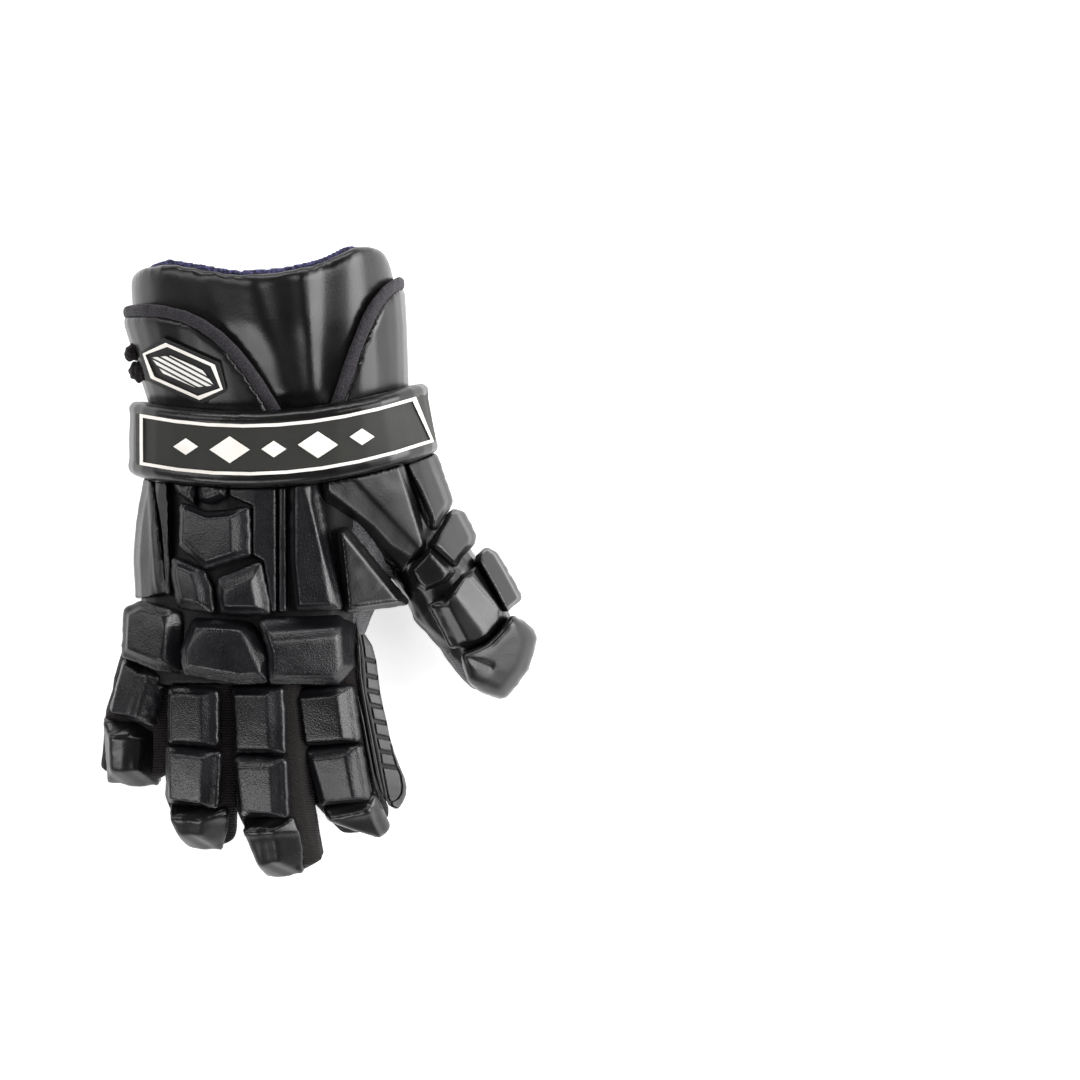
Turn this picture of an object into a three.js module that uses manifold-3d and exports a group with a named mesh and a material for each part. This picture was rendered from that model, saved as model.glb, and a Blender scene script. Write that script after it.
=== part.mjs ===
// Lacrosse glove for the right hand, lying palm down.
// Millimetres. +X runs to the thumb, +Y to the cuff, +Z up from the resting face of the palm.
import * as THREE from 'three';
import { mergeVertices } from 'three/addons/utils/BufferGeometryUtils.js';
import Module from 'manifold-3d';

const wasm = await Module();
wasm.setup();

// Clearances and walls
const clearance = 0.3;
const palmThickness = 2.2;
const shellWall = 2.2;
const sleeveWall = 1.8;
const cuffWall = 6;
const liningWall = 1.6;
const liningStand = 2.4;
const mergeTolerance = 1e-4;
const wayOut = 400;

// Back of the hand
const littleSideReach = 66;
const backSpan = 143;
const knuckleReach = 26;
const backLength = 64;
const knuckleLength = 38;
const handHeight = 66;
const backPadRise = 11;
const knucklePadRise = 12;
const stripRise = 7;
const padShoulder = 5;
const padSink = 16;
const padLevelShare = 0.7;

// Fingers
const fingerDepth = 25;
const fingerPadRise = 9.5;
const fingerPadShoulder = 4.2;
const fingerPadSink = 16;
const tipPadShoulder = 8.4;
const fingerInset = 2.6;
const sleeveMargin = 1.6;

// Thumb
const thumbLength = 126;
const thumbWidth = 48;
const thumbHeight = 56;
const thumbAngle = 27;
const thumbPadRise = 9;
const thumbPadShoulder = 5;

// Cuff
const cuffLength = 118;
const cuffWidth = 135;
const cuffHeight = 97;
const palmRimSetback = 44;
const fluteHeight = 3.2;
const wingThickness = 5;
const wingTrimWidth = 5;
const wingLow = 14;

// Wrist band
const bandWidth = 39.7;
const bandThickness = 9.5;
const bandEdgeThickness = 1;
const bandSlope = 0.05;
const bandSag = 8.4;
const bandEndHeight = 16;
const labelMargin = 6.6;
const labelLine = 1.7;
const labelRise = 0.9;

// Materials
const looks = {
  leather: { color: 0x1c1c1e, roughness: 0.42, metalness: 0 },
  fabric: { color: 0x17161a, roughness: 0.9, metalness: 0 },
  mesh: { color: 0x3a3a3d, roughness: 0.9, metalness: 0 },
  neoprene: { color: 0x2a2630, roughness: 0.85, metalness: 0 },
  lining: { color: 0x23264f, roughness: 0.8, metalness: 0 },
  rubber: { color: 0x2b2d2f, roughness: 0.55, metalness: 0 },
  print: { color: 0xe6e6e3, roughness: 0.5, metalness: 0 },
  palm: { color: 0x242322, roughness: 0.75, metalness: 0 },
};
const materials = Object.fromEntries(
  Object.entries(looks).map(([name, look]) => [name, new THREE.MeshStandardMaterial(look)]),
);

// Solids from meshes
function solidFromGeometry(geometry) {
  const bare = geometry.index ? geometry : mergeVertices(geometry);
  bare.deleteAttribute('normal');
  bare.deleteAttribute('uv');
  const merged = mergeVertices(bare, mergeTolerance);
  return new wasm.Manifold(new wasm.Mesh({
    numProp: 3,
    vertProperties: new Float32Array(merged.attributes.position.array),
    triVerts: new Uint32Array(merged.index.array),
  }));
}

function signedVolume(points, faces) {
  let sum = 0;
  for (const [a, b, c] of faces) {
    sum += points[a].dot(new THREE.Vector3().crossVectors(points[b], points[c]));
  }
  return sum / 6;
}

function solidFromFaces(points, faces) {
  const outward = signedVolume(points, faces) > 0;
  const index = faces.flatMap(([a, b, c]) => (outward ? [a, b, c] : [a, c, b]));
  const geometry = new THREE.BufferGeometry();
  geometry.setAttribute('position', new THREE.Float32BufferAttribute(points.flatMap((p) => p.toArray()), 3));
  geometry.setIndex(index);
  return solidFromGeometry(geometry);
}

function geometryFromSolid(solid) {
  const mesh = solid.getMesh();
  const geometry = new THREE.BufferGeometry();
  geometry.setAttribute('position', new THREE.Float32BufferAttribute(mesh.vertProperties, mesh.numProp));
  geometry.setIndex(Array.from(mesh.triVerts));
  geometry.computeVertexNormals();
  return geometry;
}

function biggestBody(solid) {
  const bodies = solid.decompose();
  return bodies.reduce((best, body) => (body.volume() > best.volume() ? body : best));
}

// Faces between neighbouring rings of equal count
function ringFaces(first, second, count) {
  const faces = [];
  for (let i = 0; i < count; i += 1) {
    const next = (i + 1) % count;
    faces.push([first + i, first + next, second + next], [first + i, second + next, second + i]);
  }
  return faces;
}

// A stack of rings closed by a fan at each end
function loft(rings) {
  const count = rings[0].length;
  const points = rings.flat();
  const faces = [];
  for (let r = 0; r + 1 < rings.length; r += 1) {
    faces.push(...ringFaces(r * count, (r + 1) * count, count));
  }
  const last = (rings.length - 1) * count;
  for (const [start, flip] of [[0, true], [last, false]]) {
    const ring = points.slice(start, start + count);
    const centre = ring.reduce((sum, p) => sum.add(p), new THREE.Vector3()).divideScalar(count);
    const hub = points.push(centre) - 1;
    for (let i = 0; i < count; i += 1) {
      const next = (i + 1) % count;
      faces.push(flip ? [hub, start + next, start + i] : [hub, start + i, start + next]);
    }
  }
  return solidFromFaces(points, faces);
}

// A stack of rings whose last ring joins the first
function loftRound(rings) {
  const count = rings[0].length;
  const faces = [];
  for (let r = 0; r < rings.length; r += 1) {
    faces.push(...ringFaces(r * count, ((r + 1) % rings.length) * count, count));
  }
  return solidFromFaces(rings.flat(), faces);
}

// An upright prism over an outline in plan
function prism(outline, low, high) {
  const shape = new THREE.Shape(outline.map(([x, y]) => new THREE.Vector2(x, y)));
  const geometry = new THREE.ExtrudeGeometry(shape, { depth: high - low, bevelEnabled: false });
  geometry.translate(0, 0, low);
  return solidFromGeometry(geometry);
}

// The same outline with each side moved inwards by its own inset
function insetOutline(outline, insets) {
  const nearlyStraight = 0.05;
  const count = outline.length;
  const lines = outline.map(([x, y], i) => {
    const [nextX, nextY] = outline[(i + 1) % count];
    const length = Math.hypot(nextX - x, nextY - y);
    const along = [(nextX - x) / length, (nextY - y) / length];
    return { at: [x - along[1] * insets[i], y + along[0] * insets[i]], along };
  });
  return lines.map((line, i) => {
    const before = lines[(i + count - 1) % count];
    const cross = before.along[0] * line.along[1] - before.along[1] * line.along[0];
    if (Math.abs(cross) < nearlyStraight) {
      return line.at;
    }
    const gap = [line.at[0] - before.at[0], line.at[1] - before.at[1]];
    const step = (gap[0] * line.along[1] - gap[1] * line.along[0]) / cross;
    return [before.at[0] + before.along[0] * step, before.at[1] + before.along[1] * step];
  });
}

// The inset outline, with its bevels limited so that no side turns round
function topOutline(outline, insets) {
  const limitStep = 0.92;
  const count = outline.length;
  let limit = 1;
  for (;;) {
    const top = insetOutline(outline, insets.map((inset) => inset * limit));
    const keeps = outline.every(([x, y], i) => {
      const next = (i + 1) % count;
      const side = [outline[next][0] - x, outline[next][1] - y];
      const moved = [top[next][0] - top[i][0], top[next][1] - top[i][1]];
      return side[0] * moved[0] + side[1] * moved[1] > 0;
    });
    if (keeps) {
      return top;
    }
    limit *= limitStep;
  }
}

// A pad: upright walls, a bevelled shoulder on each side and a flat top
function padSolid({ outline, insets, place, shoulder, sink }) {
  const top = topOutline(outline, insets);
  const count = outline.length;
  const points = [
    ...outline.map(([p, q]) => place(p, q, -sink)),
    ...outline.map(([p, q]) => place(p, q, -shoulder)),
    ...top.map(([p, q]) => place(p, q, 0)),
  ];
  const cap = (ring) => THREE.ShapeUtils.triangulateShape(ring.map(([p, q]) => new THREE.Vector2(p, q)), []);
  const faces = [
    ...ringFaces(0, count, count),
    ...ringFaces(count, 2 * count, count),
    ...cap(outline).map(([a, b, c]) => [a, c, b]),
    ...cap(top).map(([a, b, c]) => [a + 2 * count, b + 2 * count, c + 2 * count]),
  ];
  return solidFromFaces(points, faces);
}

const power = (value, exponent) => Math.sign(value) * Math.abs(value) ** exponent;
const lerp = (a, b, share) => a + (b - a) * share;

// Bodies: a row per section, each with its sides, apex, heights and place along the body
const domePower = 2.5;
const basePower = 6;

function sectionAt(rows, along) {
  const after = rows.findIndex((row) => row.along >= along);
  if (after <= 0) {
    return { ...rows[after < 0 ? rows.length - 1 : 0], along };
  }
  const [a, b] = [rows[after - 1], rows[after]];
  const share = (along - a.along) / (b.along - a.along);
  const mixed = Object.keys(a).map((key) => [key, lerp(a[key], b[key], share)]);
  return { ...Object.fromEntries(mixed), along };
}

function sectionPoint({ left, right, apex, base, waist, top }, grow, turn) {
  const [c, s] = [Math.cos(turn), Math.sin(turn)];
  const reach = c > 0 ? right + grow - apex : apex - left + grow;
  const rise = s > 0 ? top + grow - waist : waist - base + grow;
  const curve = 2 / (s > 0 ? domePower : basePower);
  return [apex + reach * power(c, curve), waist + rise * power(s, curve)];
}

const ringTurn = (i, count) => (2 * Math.PI * (i + 0.5)) / count;

function sectionRing(section, grow, count, place, shape) {
  return Array.from({ length: count }, (_, i) => {
    const turn = ringTurn(i, count);
    const [x, z] = sectionPoint(section, grow, turn);
    const lift = shape && turn < Math.PI ? shape(x, section.along) : 0;
    return place(x, section.along, z + lift);
  });
}

function bodySolid(rows, { grow = 0, from, to, count, place, shape }) {
  const stops = [from, ...rows.map((row) => row.along).filter((a) => a > from && a < to), to];
  return loft(stops.map((along) => sectionRing(sectionAt(rows, along), grow, count, place, shape)));
}

// Height of a body's back above a point
function domeHeight(rows, lateral, along) {
  const { left, right, apex, waist, top } = sectionAt(rows, along);
  const reach = lateral > apex ? right - apex : apex - left;
  const share = Math.min(Math.abs(lateral - apex) / reach, 1);
  return waist + (top - waist) * (1 - share ** domePower) ** (1 / domePower);
}

// The same height for laying pads on: past a share of the reach it falls on in a straight line
const padReachShare = 0.72;
function padGround(rows, lateral, along) {
  const { left, right, apex } = sectionAt(rows, along);
  const reach = lateral > apex ? right - apex : apex - left;
  const share = Math.abs(lateral - apex) / reach;
  if (share < padReachShare) {
    return domeHeight(rows, lateral, along);
  }
  const side = Math.sign(lateral - apex) * reach;
  const step = 0.02;
  const edge = domeHeight(rows, apex + side * padReachShare, along);
  const before = domeHeight(rows, apex + side * (padReachShare - step), along);
  return edge + ((edge - before) * (share - padReachShare)) / step;
}

// Plan of the back: across from the little side to the thumb, up from the knuckle row to the band
const backX = (across) => across * backSpan - littleSideReach;
const backY = (up) => up * (up < 0 ? knuckleLength : backLength) - knuckleReach;

// Hand
const handBase = palmThickness + clearance;
const handCount = 28;
const handTable = [
  { up: -1.02, left: 0.010, right: 0.804, apex: 0.46, top: 0.90 },
  { up: -0.50, left: 0.000, right: 0.825, apex: 0.47, top: 0.93 },
  { up: 0.00, left: 0.028, right: 0.881, apex: 0.50, top: 0.96 },
  { up: 0.35, left: 0.042, right: 0.965, apex: 0.52, top: 0.98 },
  { up: 0.70, left: 0.063, right: 1.010, apex: 0.53, top: 1.00 },
  { up: 1.12, left: 0.095, right: 1.028, apex: 0.54, top: 1.00 },
];
const waistShare = 0.4;
const handRows = handTable.map(({ up, left, right, apex, top }) => ({
  along: backY(up),
  left: backX(left),
  right: backX(right),
  apex: backX(apex),
  base: handBase,
  waist: waistShare * handHeight,
  top: top * handHeight,
}));
const handFront = handRows[0].along;
const wristRow = handRows.at(-1);
const wristY = wristRow.along;
const plan = (x, y, z) => new THREE.Vector3(x, y, z);
const handBody = (grow, from, to) => bodySolid(handRows, { grow, from, to, count: handCount, place: plan });
const handOuter = handBody(0, handFront, wristY);
const handCutter = handBody(clearance, handFront - clearance, wristY + clearance);
const handHollow = handBody(-shellWall, handFront + shellWall, wristY + shellWall);

// Thumb, in its own plan frame: across to its outer side, along to its tip
const thumbTable = [
  { along: -0.04, left: -0.79, right: 0.27, top: 1.00 },
  { along: 0.16, left: -0.75, right: 0.29, top: 0.97 },
  { along: 0.35, left: -0.56, right: 0.31, top: 0.90 },
  { along: 0.47, left: -0.51, right: 0.36, top: 0.84 },
  { along: 0.56, left: -0.54, right: 0.39, top: 0.79 },
  { along: 0.72, left: -0.42, right: 0.39, top: 0.68 },
  { along: 0.83, left: -0.39, right: 0.34, top: 0.58 },
  { along: 0.92, left: -0.31, right: 0.20, top: 0.46 },
  { along: 0.97, left: -0.17, right: 0.02, top: 0.34 },
];
const thumbCount = 20;
const thumbRoot = [backX(0.965), backY(1.094)];
const thumbTurn = THREE.MathUtils.degToRad(thumbAngle);
const thumbApexShare = 0.45;
const thumbRows = thumbTable.map(({ along, left, right, top }) => ({
  along: along * thumbLength,
  left: left * thumbWidth,
  right: right * thumbWidth,
  apex: lerp(left, right, thumbApexShare) * thumbWidth,
  base: handBase,
  waist: waistShare * top * thumbHeight,
  top: top * thumbHeight,
}));
const thumbPlan = (across, along, z) => new THREE.Vector3(
  thumbRoot[0] + across * Math.cos(thumbTurn) + along * Math.sin(thumbTurn),
  thumbRoot[1] + across * Math.sin(thumbTurn) - along * Math.cos(thumbTurn),
  z,
);
const thumbEnd = thumbRows.at(-1).along;
const thumbStart = thumbRows[0].along;
const thumbBody = (grow, from, to) => (
  bodySolid(thumbRows, { grow, from, to, count: thumbCount, place: thumbPlan })
);
const thumbOuter = thumbBody(0, thumbStart, thumbEnd);
const thumbCutter = thumbBody(clearance, thumbStart - clearance, thumbEnd + clearance);
const thumbHollow = thumbBody(-sleeveWall, thumbStart + shellWall, thumbEnd - 2 * sleeveWall);

// Fingers: a row per finger with its place across the back, then a row per pad along it.
// Each sleeve is wider by its web on the thumb side, which fills the gap to the next finger.
const fingerTable = [
  {
    name: 'little', across: 0.058, ahead: -0.27, roll: 4, pads: [
      { length: 30.5, width: 24.5, web: 4, lean: -15, pitch: 13 },
      { length: 37.5, width: 31.5, web: 5, lean: -1, pitch: 27, tipWidth: 31.5, tipShift: 0 },
    ],
  },
  {
    name: 'ring', across: 0.229, ahead: 0, roll: 13, pads: [
      { length: 32.0, width: 26, web: 4.5, lean: 0, pitch: 11 },
      { length: 32.5, width: 29, web: 5, lean: -3, pitch: 18 },
      { length: 29.0, width: 30.5, web: 4.5, lean: 4, pitch: 33, tipWidth: 20, tipShift: 3.5 },
    ],
  },
  {
    name: 'middle', across: 0.460, ahead: 0, roll: 16, pads: [
      { length: 36.0, width: 28, web: 4, lean: 2, pitch: 9 },
      { length: 34.0, width: 28.5, web: 7, lean: 2, pitch: 17 },
      { length: 37.0, width: 31, web: 8, lean: 9, pitch: 30, tipWidth: 22, tipShift: 5 },
    ],
  },
  {
    name: 'index', across: 0.702, ahead: 0, roll: 13, pads: [
      { length: 31.5, width: 30.5, web: 0, lean: 7, pitch: 10 },
      { length: 32.5, width: 30.5, web: 0, lean: 10, pitch: 19 },
      { length: 26.5, width: 34, web: 0, lean: 24, pitch: 38, tipWidth: 24, tipShift: 4.5 },
    ],
  },
];

// Finger pads: a row per corner, as shares of the pad's width and length, with the bevel of the edge after it
const fingerPads = {
  little: [
    [
      { across: -0.50, along: 0.055, bevel: 0.08 },
      { across: 0.50, along: 0.055, bevel: 0.30 },
      { across: 0.50, along: 0.945, bevel: 0.10 },
      { across: -0.50, along: 0.945, bevel: 0.36 },
    ],
    [
      { across: -0.50, along: 0.045, bevel: 0.14 },
      { across: 0.50, along: 0.045, bevel: 0.34 },
      { across: 0.42, along: 1.00, bevel: 0.40 },
      { across: -0.42, along: 1.00, bevel: 0.12 },
    ],
  ],
  ring: [
    [
      { across: -0.47, along: 0.055, bevel: 0.09 },
      { across: 0.50, along: 0.055, bevel: 0.28 },
      { across: 0.50, along: 0.945, bevel: 0.08 },
      { across: -0.49, along: 0.945, bevel: 0.07 },
    ],
    [
      { across: -0.47, along: 0.055, bevel: 0.07 },
      { across: 0.50, along: 0.055, bevel: 0.28 },
      { across: 0.50, along: 0.945, bevel: 0.09 },
      { across: -0.40, along: 0.945, bevel: 0.07 },
    ],
    [
      { across: -0.37, along: 0.055, bevel: 0.10 },
      { across: 0.50, along: 0.055, bevel: 0.34 },
      { across: 0.42, along: 0.95, bevel: 0.42 },
      { across: -0.15, along: 0.88, bevel: 0.12 },
      { across: -0.40, along: 0.22, bevel: 0.10 },
    ],
  ],
  middle: [
    [
      { across: -0.43, along: 0.045, bevel: 0.09 },
      { across: 0.50, along: 0.045, bevel: 0.24 },
      { across: 0.50, along: 0.955, bevel: 0.08 },
      { across: -0.42, along: 0.955, bevel: 0.07 },
    ],
    [
      { across: -0.44, along: 0.050, bevel: 0.12 },
      { across: 0.50, along: 0.050, bevel: 0.24 },
      { across: 0.50, along: 0.950, bevel: 0.10 },
      { across: -0.37, along: 0.950, bevel: 0.08 },
    ],
    [
      { across: -0.34, along: 0.045, bevel: 0.10 },
      { across: 0.50, along: 0.045, bevel: 0.36 },
      { across: 0.48, along: 0.96, bevel: 0.50 },
      { across: -0.12, along: 1.00, bevel: 0.12 },
      { across: -0.36, along: 0.16, bevel: 0.10 },
    ],
  ],
  index: [
    [
      { across: -0.45, along: 0.055, bevel: 0.10 },
      { across: 0.50, along: 0.055, bevel: 0.24 },
      { across: 0.50, along: 0.945, bevel: 0.07 },
      { across: -0.43, along: 0.945, bevel: 0.06 },
    ],
    [
      { across: -0.42, along: 0.050, bevel: 0.09 },
      { across: 0.50, along: 0.050, bevel: 0.24 },
      { across: 0.50, along: 0.950, bevel: 0.09 },
      { across: -0.33, along: 0.950, bevel: 0.10 },
    ],
    [
      { across: -0.27, along: 0.065, bevel: 0.08 },
      { across: 0.50, along: 0.065, bevel: 0.30 },
      { across: 0.50, along: 0.90, bevel: 0.20 },
      { across: 0.30, along: 1.02, bevel: 0.30 },
      { across: -0.27, along: 0.34, bevel: 0.12 },
    ],
  ],
};
const fingerCount = 16;
const fingerPower = 3;
const tipScale = 0.55;
const tipRound = 0.16;
const tipDepthShare = 0.72;

// Directions at one stretch of a finger
function fingerFrame({ lean, pitch }, roll) {
  const [turn, dip, tilt] = [lean, pitch, roll].map(THREE.MathUtils.degToRad);
  const along = new THREE.Vector3(
    Math.sin(turn) * Math.cos(dip),
    -Math.cos(turn) * Math.cos(dip),
    -Math.sin(dip),
  );
  const level = new THREE.Vector3(Math.cos(turn), Math.sin(turn), 0);
  const up = new THREE.Vector3().crossVectors(along, level);
  const across = level.clone().multiplyScalar(Math.cos(tilt)).addScaledVector(up, Math.sin(tilt));
  const normal = up.multiplyScalar(Math.cos(tilt)).addScaledVector(level, -Math.sin(tilt));
  return { along, across, normal };
}

// Joint points along the back of a finger, with a frame at each
function fingerChain({ across, ahead, roll, pads }) {
  const x = backX(across);
  const y = handFront - ahead * knuckleLength;
  const start = new THREE.Vector3(x, y, domeHeight(handRows, x, handFront + shellWall) - fingerInset);
  const frames = pads.map((pad) => fingerFrame(pad, roll));
  const joints = [start];
  pads.forEach((pad, i) => joints.push(joints[i].clone().addScaledVector(frames[i].along, pad.length)));
  return { frames, joints };
}

// A finger sleeve's rings, with its walls moved by grow
function fingerRings({ pads }, { frames, joints }, grow, lead, tail) {
  const rings = [];
  const depth = (i) => fingerDepth * (i === pads.length ? tipDepthShare : 1);
  const addRing = (joint, frame, { width, web, shift = 0 }, deep, scale) => {
    const centre = joint.clone().addScaledVector(frame.normal, -deep / 2).addScaledVector(frame.across, shift);
    const near = (width / 2 + sleeveMargin) * scale + grow;
    const rise = (deep / 2) * scale + grow;
    rings.push(Array.from({ length: fingerCount }, (_, k) => {
      const turn = (2 * Math.PI * (k + 0.5)) / fingerCount;
      const half = Math.cos(turn) > 0 ? near + web * scale : near;
      return centre.clone()
        .addScaledVector(frame.across, half * power(Math.cos(turn), 2 / fingerPower))
        .addScaledVector(frame.normal, rise * power(Math.sin(turn), 2 / fingerPower));
    }));
  };
  addRing(joints[0].clone().addScaledVector(frames[0].along, -lead), frames[0], pads[0], depth(0), 1);
  for (let i = 1; i < pads.length; i += 1) {
    const blend = {
      across: frames[i - 1].across.clone().add(frames[i].across).normalize(),
      normal: frames[i - 1].normal.clone().add(frames[i].normal).normalize(),
    };
    const size = {
      width: (pads[i - 1].width + pads[i].width) / 2,
      web: (pads[i - 1].web + pads[i].web) / 2,
    };
    addRing(joints[i], blend, size, depth(i), 1);
  }
  const [lastPad, lastFrame, end] = [pads.at(-1), frames.at(-1), joints.at(-1)];
  const round = tipRound * lastPad.length;
  const nearEnd = end.clone().addScaledVector(lastFrame.along, -round - tail);
  const farEnd = end.clone().addScaledVector(lastFrame.along, -tail);
  const tip = { width: lastPad.tipWidth, web: lastPad.web, shift: lastPad.tipShift };
  addRing(nearEnd, lastFrame, tip, depth(pads.length), 1);
  addRing(farEnd, lastFrame, tip, depth(pads.length), tipScale);
  return rings;
}

const sleeveLead = 6;
const fingers = fingerTable.map((finger) => {
  const chain = fingerChain(finger);
  const body = (grow, lead, tail) => loft(fingerRings(finger, chain, grow, lead, tail));
  return {
    ...finger,
    ...chain,
    outer: body(0, sleeveLead, 0),
    cutter: body(clearance, sleeveLead, -clearance),
    hollow: body(-sleeveWall, sleeveLead + shellWall, 2 * sleeveWall),
  };
});

// Cuff: across is a share of its width from the wrist's middle, up a share of its length
const wristMiddle = (wristRow.left + wristRow.right) / 2;
const cuffStart = wristY + clearance;
const cuffX = (across) => wristMiddle + across * cuffWidth;
const cuffY = (up) => cuffStart + up * cuffLength;
const cuffTable = [
  { up: 0.30, left: -0.489, right: 0.430, apex: -0.02, top: 0.78 },
  { up: 0.65, left: -0.583, right: 0.422, apex: -0.06, top: 0.91 },
  { up: 1.03, left: -0.607, right: 0.398, apex: -0.08, top: 1.00 },
];
const cuffCount = 36;
const cuffRows = [
  { ...wristRow, along: cuffStart },
  ...cuffTable.map(({ up, left, right, apex, top }) => ({
    along: cuffY(up),
    left: cuffX(left),
    right: cuffX(right),
    apex: cuffX(apex),
    base: handBase,
    waist: waistShare * top * cuffHeight,
    top: top * cuffHeight,
  })),
];
const flutes = [
  { upper: -0.154, lower: 0.008 },
  { upper: 0.070, lower: 0.113 },
];
const [fluteUpper, fluteLower, fluteSpread] = [0.79, 0.36, 0.055];
const [fluteFade, fluteFull] = [-0.4, 0.9];
function fluteLift(x, y) {
  const up = (y - cuffStart) / cuffLength;
  const share = (up - fluteLower) / (fluteUpper - fluteLower);
  const strength = fluteHeight * THREE.MathUtils.smoothstep(share, fluteFade, fluteFull);
  return flutes.reduce((lift, { upper, lower }) => {
    const off = (x - cuffX(lerp(lower, upper, share))) / (fluteSpread * cuffWidth);
    return lift + strength * Math.exp(-off * off);
  }, 0);
}
const cuffEnd = cuffRows.at(-1).along;
const rowSplits = 2;
const finerRows = (rows) => rows.flatMap((row, i) => {
  if (i === 0) {
    return [row];
  }
  const from = rows[i - 1].along;
  return Array.from({ length: rowSplits }, (_, k) => (
    sectionAt(rows, lerp(from, row.along, (k + 1) / rowSplits))
  ));
});
const cuffFine = finerRows(cuffRows);
const cuffBody = (grow, from, to) => (
  bodySolid(cuffFine, { grow, from, to, count: cuffCount, place: plan, shape: fluteLift })
);

// Parts of the glove
const glove = new THREE.Group();
function addPiece(name, solid, material) {
  const mesh = new THREE.Mesh(geometryFromSolid(biggestBody(solid)), materials[material]);
  mesh.name = name;
  glove.add(mesh);
}

// Palm sheet under the hand
const palmFront = backY(-0.92);
const palmHeel = backY(1.04);
const palmStops = [palmFront, backY(-0.45), backY(0), backY(0.35), backY(0.7), palmHeel];
const palmInset = 9;
const palmSide = (key, sign) => palmStops.map((y) => [sectionAt(handRows, y)[key] + sign * palmInset, y]);
const palmOutline = [...palmSide('right', -1), ...palmSide('left', 1).reverse()];
addPiece('palm', prism(palmOutline, 0, palmThickness), 'palm');

// Hand cloth, open at the wrist and into each finger and the thumb: the back and sides, and the palm panel
const slab = (low, high) => (
  prism([[-wayOut, -wayOut], [wayOut, -wayOut], [wayOut, wayOut], [-wayOut, wayOut]], low, high)
);
let handCloth = handOuter.subtract(handHollow).subtract(thumbHollow);
for (const finger of fingers) {
  handCloth = handCloth.subtract(finger.hollow);
}
const handSplit = 0.24 * handHeight;
addPiece('hand_shell', handCloth.intersect(slab(handSplit, wayOut)), 'fabric');
addPiece('hand_palm_panel', handCloth.intersect(slab(0, handSplit - clearance)), 'fabric');
const behindWrist = prism(
  [[-wayOut, wristY], [wayOut, wristY], [wayOut, wayOut], [-wayOut, wayOut]],
  -wayOut,
  wayOut,
);
const thumbSleeve = thumbOuter.subtract(thumbHollow).subtract(handCutter).subtract(behindWrist);
addPiece('thumb_sleeve', thumbSleeve, 'mesh');
fingers.forEach((finger, i) => {
  const sleeve = finger.outer.subtract(finger.hollow).subtract(handCutter);
  const next = fingers[i + 1];
  addPiece(`${finger.name}_sleeve`, next ? sleeve.subtract(next.cutter) : sleeve, 'fabric');
});

// Finger pads, one per row, on the back of each sleeve
for (const finger of fingers) {
  finger.pads.forEach((pad, i) => {
    const frame = finger.frames[i];
    const corners = fingerPads[finger.name][i];
    const outline = corners.map(({ across, along }) => [across * pad.width, along * pad.length]);
    const insets = corners.map(({ bevel }) => bevel * pad.width);
    const shoulder = i + 1 === finger.pads.length ? tipPadShoulder : fingerPadShoulder;
    const place = (p, q, h) => finger.joints[i].clone()
      .addScaledVector(frame.across, p)
      .addScaledVector(frame.along, q)
      .addScaledVector(frame.normal, fingerPadRise + h);
    const solid = padSolid({ outline, insets, place, shoulder, sink: fingerPadSink });
    const seated = fingers.reduce((left, other) => left.subtract(other.cutter), solid.subtract(handCutter));
    addPiece(`${finger.name}_pad_${i + 1}`, seated, 'leather');
  });
}

// Wrist band: a padded roll round the wrist, its lower edge a shallow curve in plan
const bandMiddle = backX(0.51);
const bandLowest = backY(0.995);
const bandHalf = cuffWidth / 2;
const bandEdge = (x) => {
  const across = (x - bandMiddle) / bandHalf;
  return bandLowest + bandSlope * (x - bandMiddle) + bandSag * across * across;
};

// Pads laid out in plan over the hand and the thumb
const [zoneLeft, zoneRight] = [backX(-0.5), backX(1.5)];
const zoneSteps = 24;
const zoneEdge = Array.from({ length: zoneSteps + 1 }, (_, i) => {
  const x = lerp(zoneLeft, zoneRight, i / zoneSteps);
  return [x, bandEdge(x) - clearance];
});
const bandZone = prism([...zoneEdge, [zoneRight, wayOut], [zoneLeft, wayOut]], -wayOut, wayOut);
const bodies = fingers.reduce(
  (sum, finger) => sum.add(finger.cutter),
  handCutter.add(thumbCutter).add(bandZone).add(cuffBody(clearance, cuffStart - clearance, cuffEnd)),
);

function thumbLocal(x, y) {
  const [dx, dy] = [x - thumbRoot[0], y - thumbRoot[1]];
  return [
    dx * Math.cos(thumbTurn) + dy * Math.sin(thumbTurn),
    dx * Math.sin(thumbTurn) - dy * Math.cos(thumbTurn),
  ];
}
const handHeightAt = (x, y) => padGround(handRows, x, y);
const thumbHeightAt = (x, y) => padGround(thumbRows, ...thumbLocal(x, y));

// A pad's flat top, laid over the dome below it
function planPad(table, { toX, toY, height, rise, shoulder, tiltX = 0 }) {
  const outline = table.map((row) => [toX(row), toY(row)]);
  const insets = table.map((row) => row.bevel * rise);
  const middle = [0, 1].map((k) => outline.reduce((sum, point) => sum + point[k], 0) / outline.length);
  const span = [0, 1].map((k) => {
    const values = outline.map((point) => point[k]);
    return (padLevelShare * (Math.max(...values) - Math.min(...values))) / 2;
  });
  const [x0, y0] = middle;
  const slopeX = (height(x0 + span[0], y0) - height(x0 - span[0], y0)) / (2 * span[0]) + tiltX;
  const slopeY = (height(x0, y0 + span[1]) - height(x0, y0 - span[1])) / (2 * span[1]);
  const level = height(x0, y0) + rise;
  const place = (x, y, h) => new THREE.Vector3(x, y, level + slopeX * (x - x0) + slopeY * (y - y0) + h);
  return padSolid({ outline, insets, place, shoulder, sink: rise + padSink });
}

const onBack = { toX: (row) => backX(row.across), toY: (row) => backY(row.up), height: handHeightAt };
const onThumb = {
  toX: (row) => thumbPlan(row.across * thumbWidth, row.along * thumbLength, 0).x,
  toY: (row) => thumbPlan(row.across * thumbWidth, row.along * thumbLength, 0).y,
  height: thumbHeightAt,
};

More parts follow.
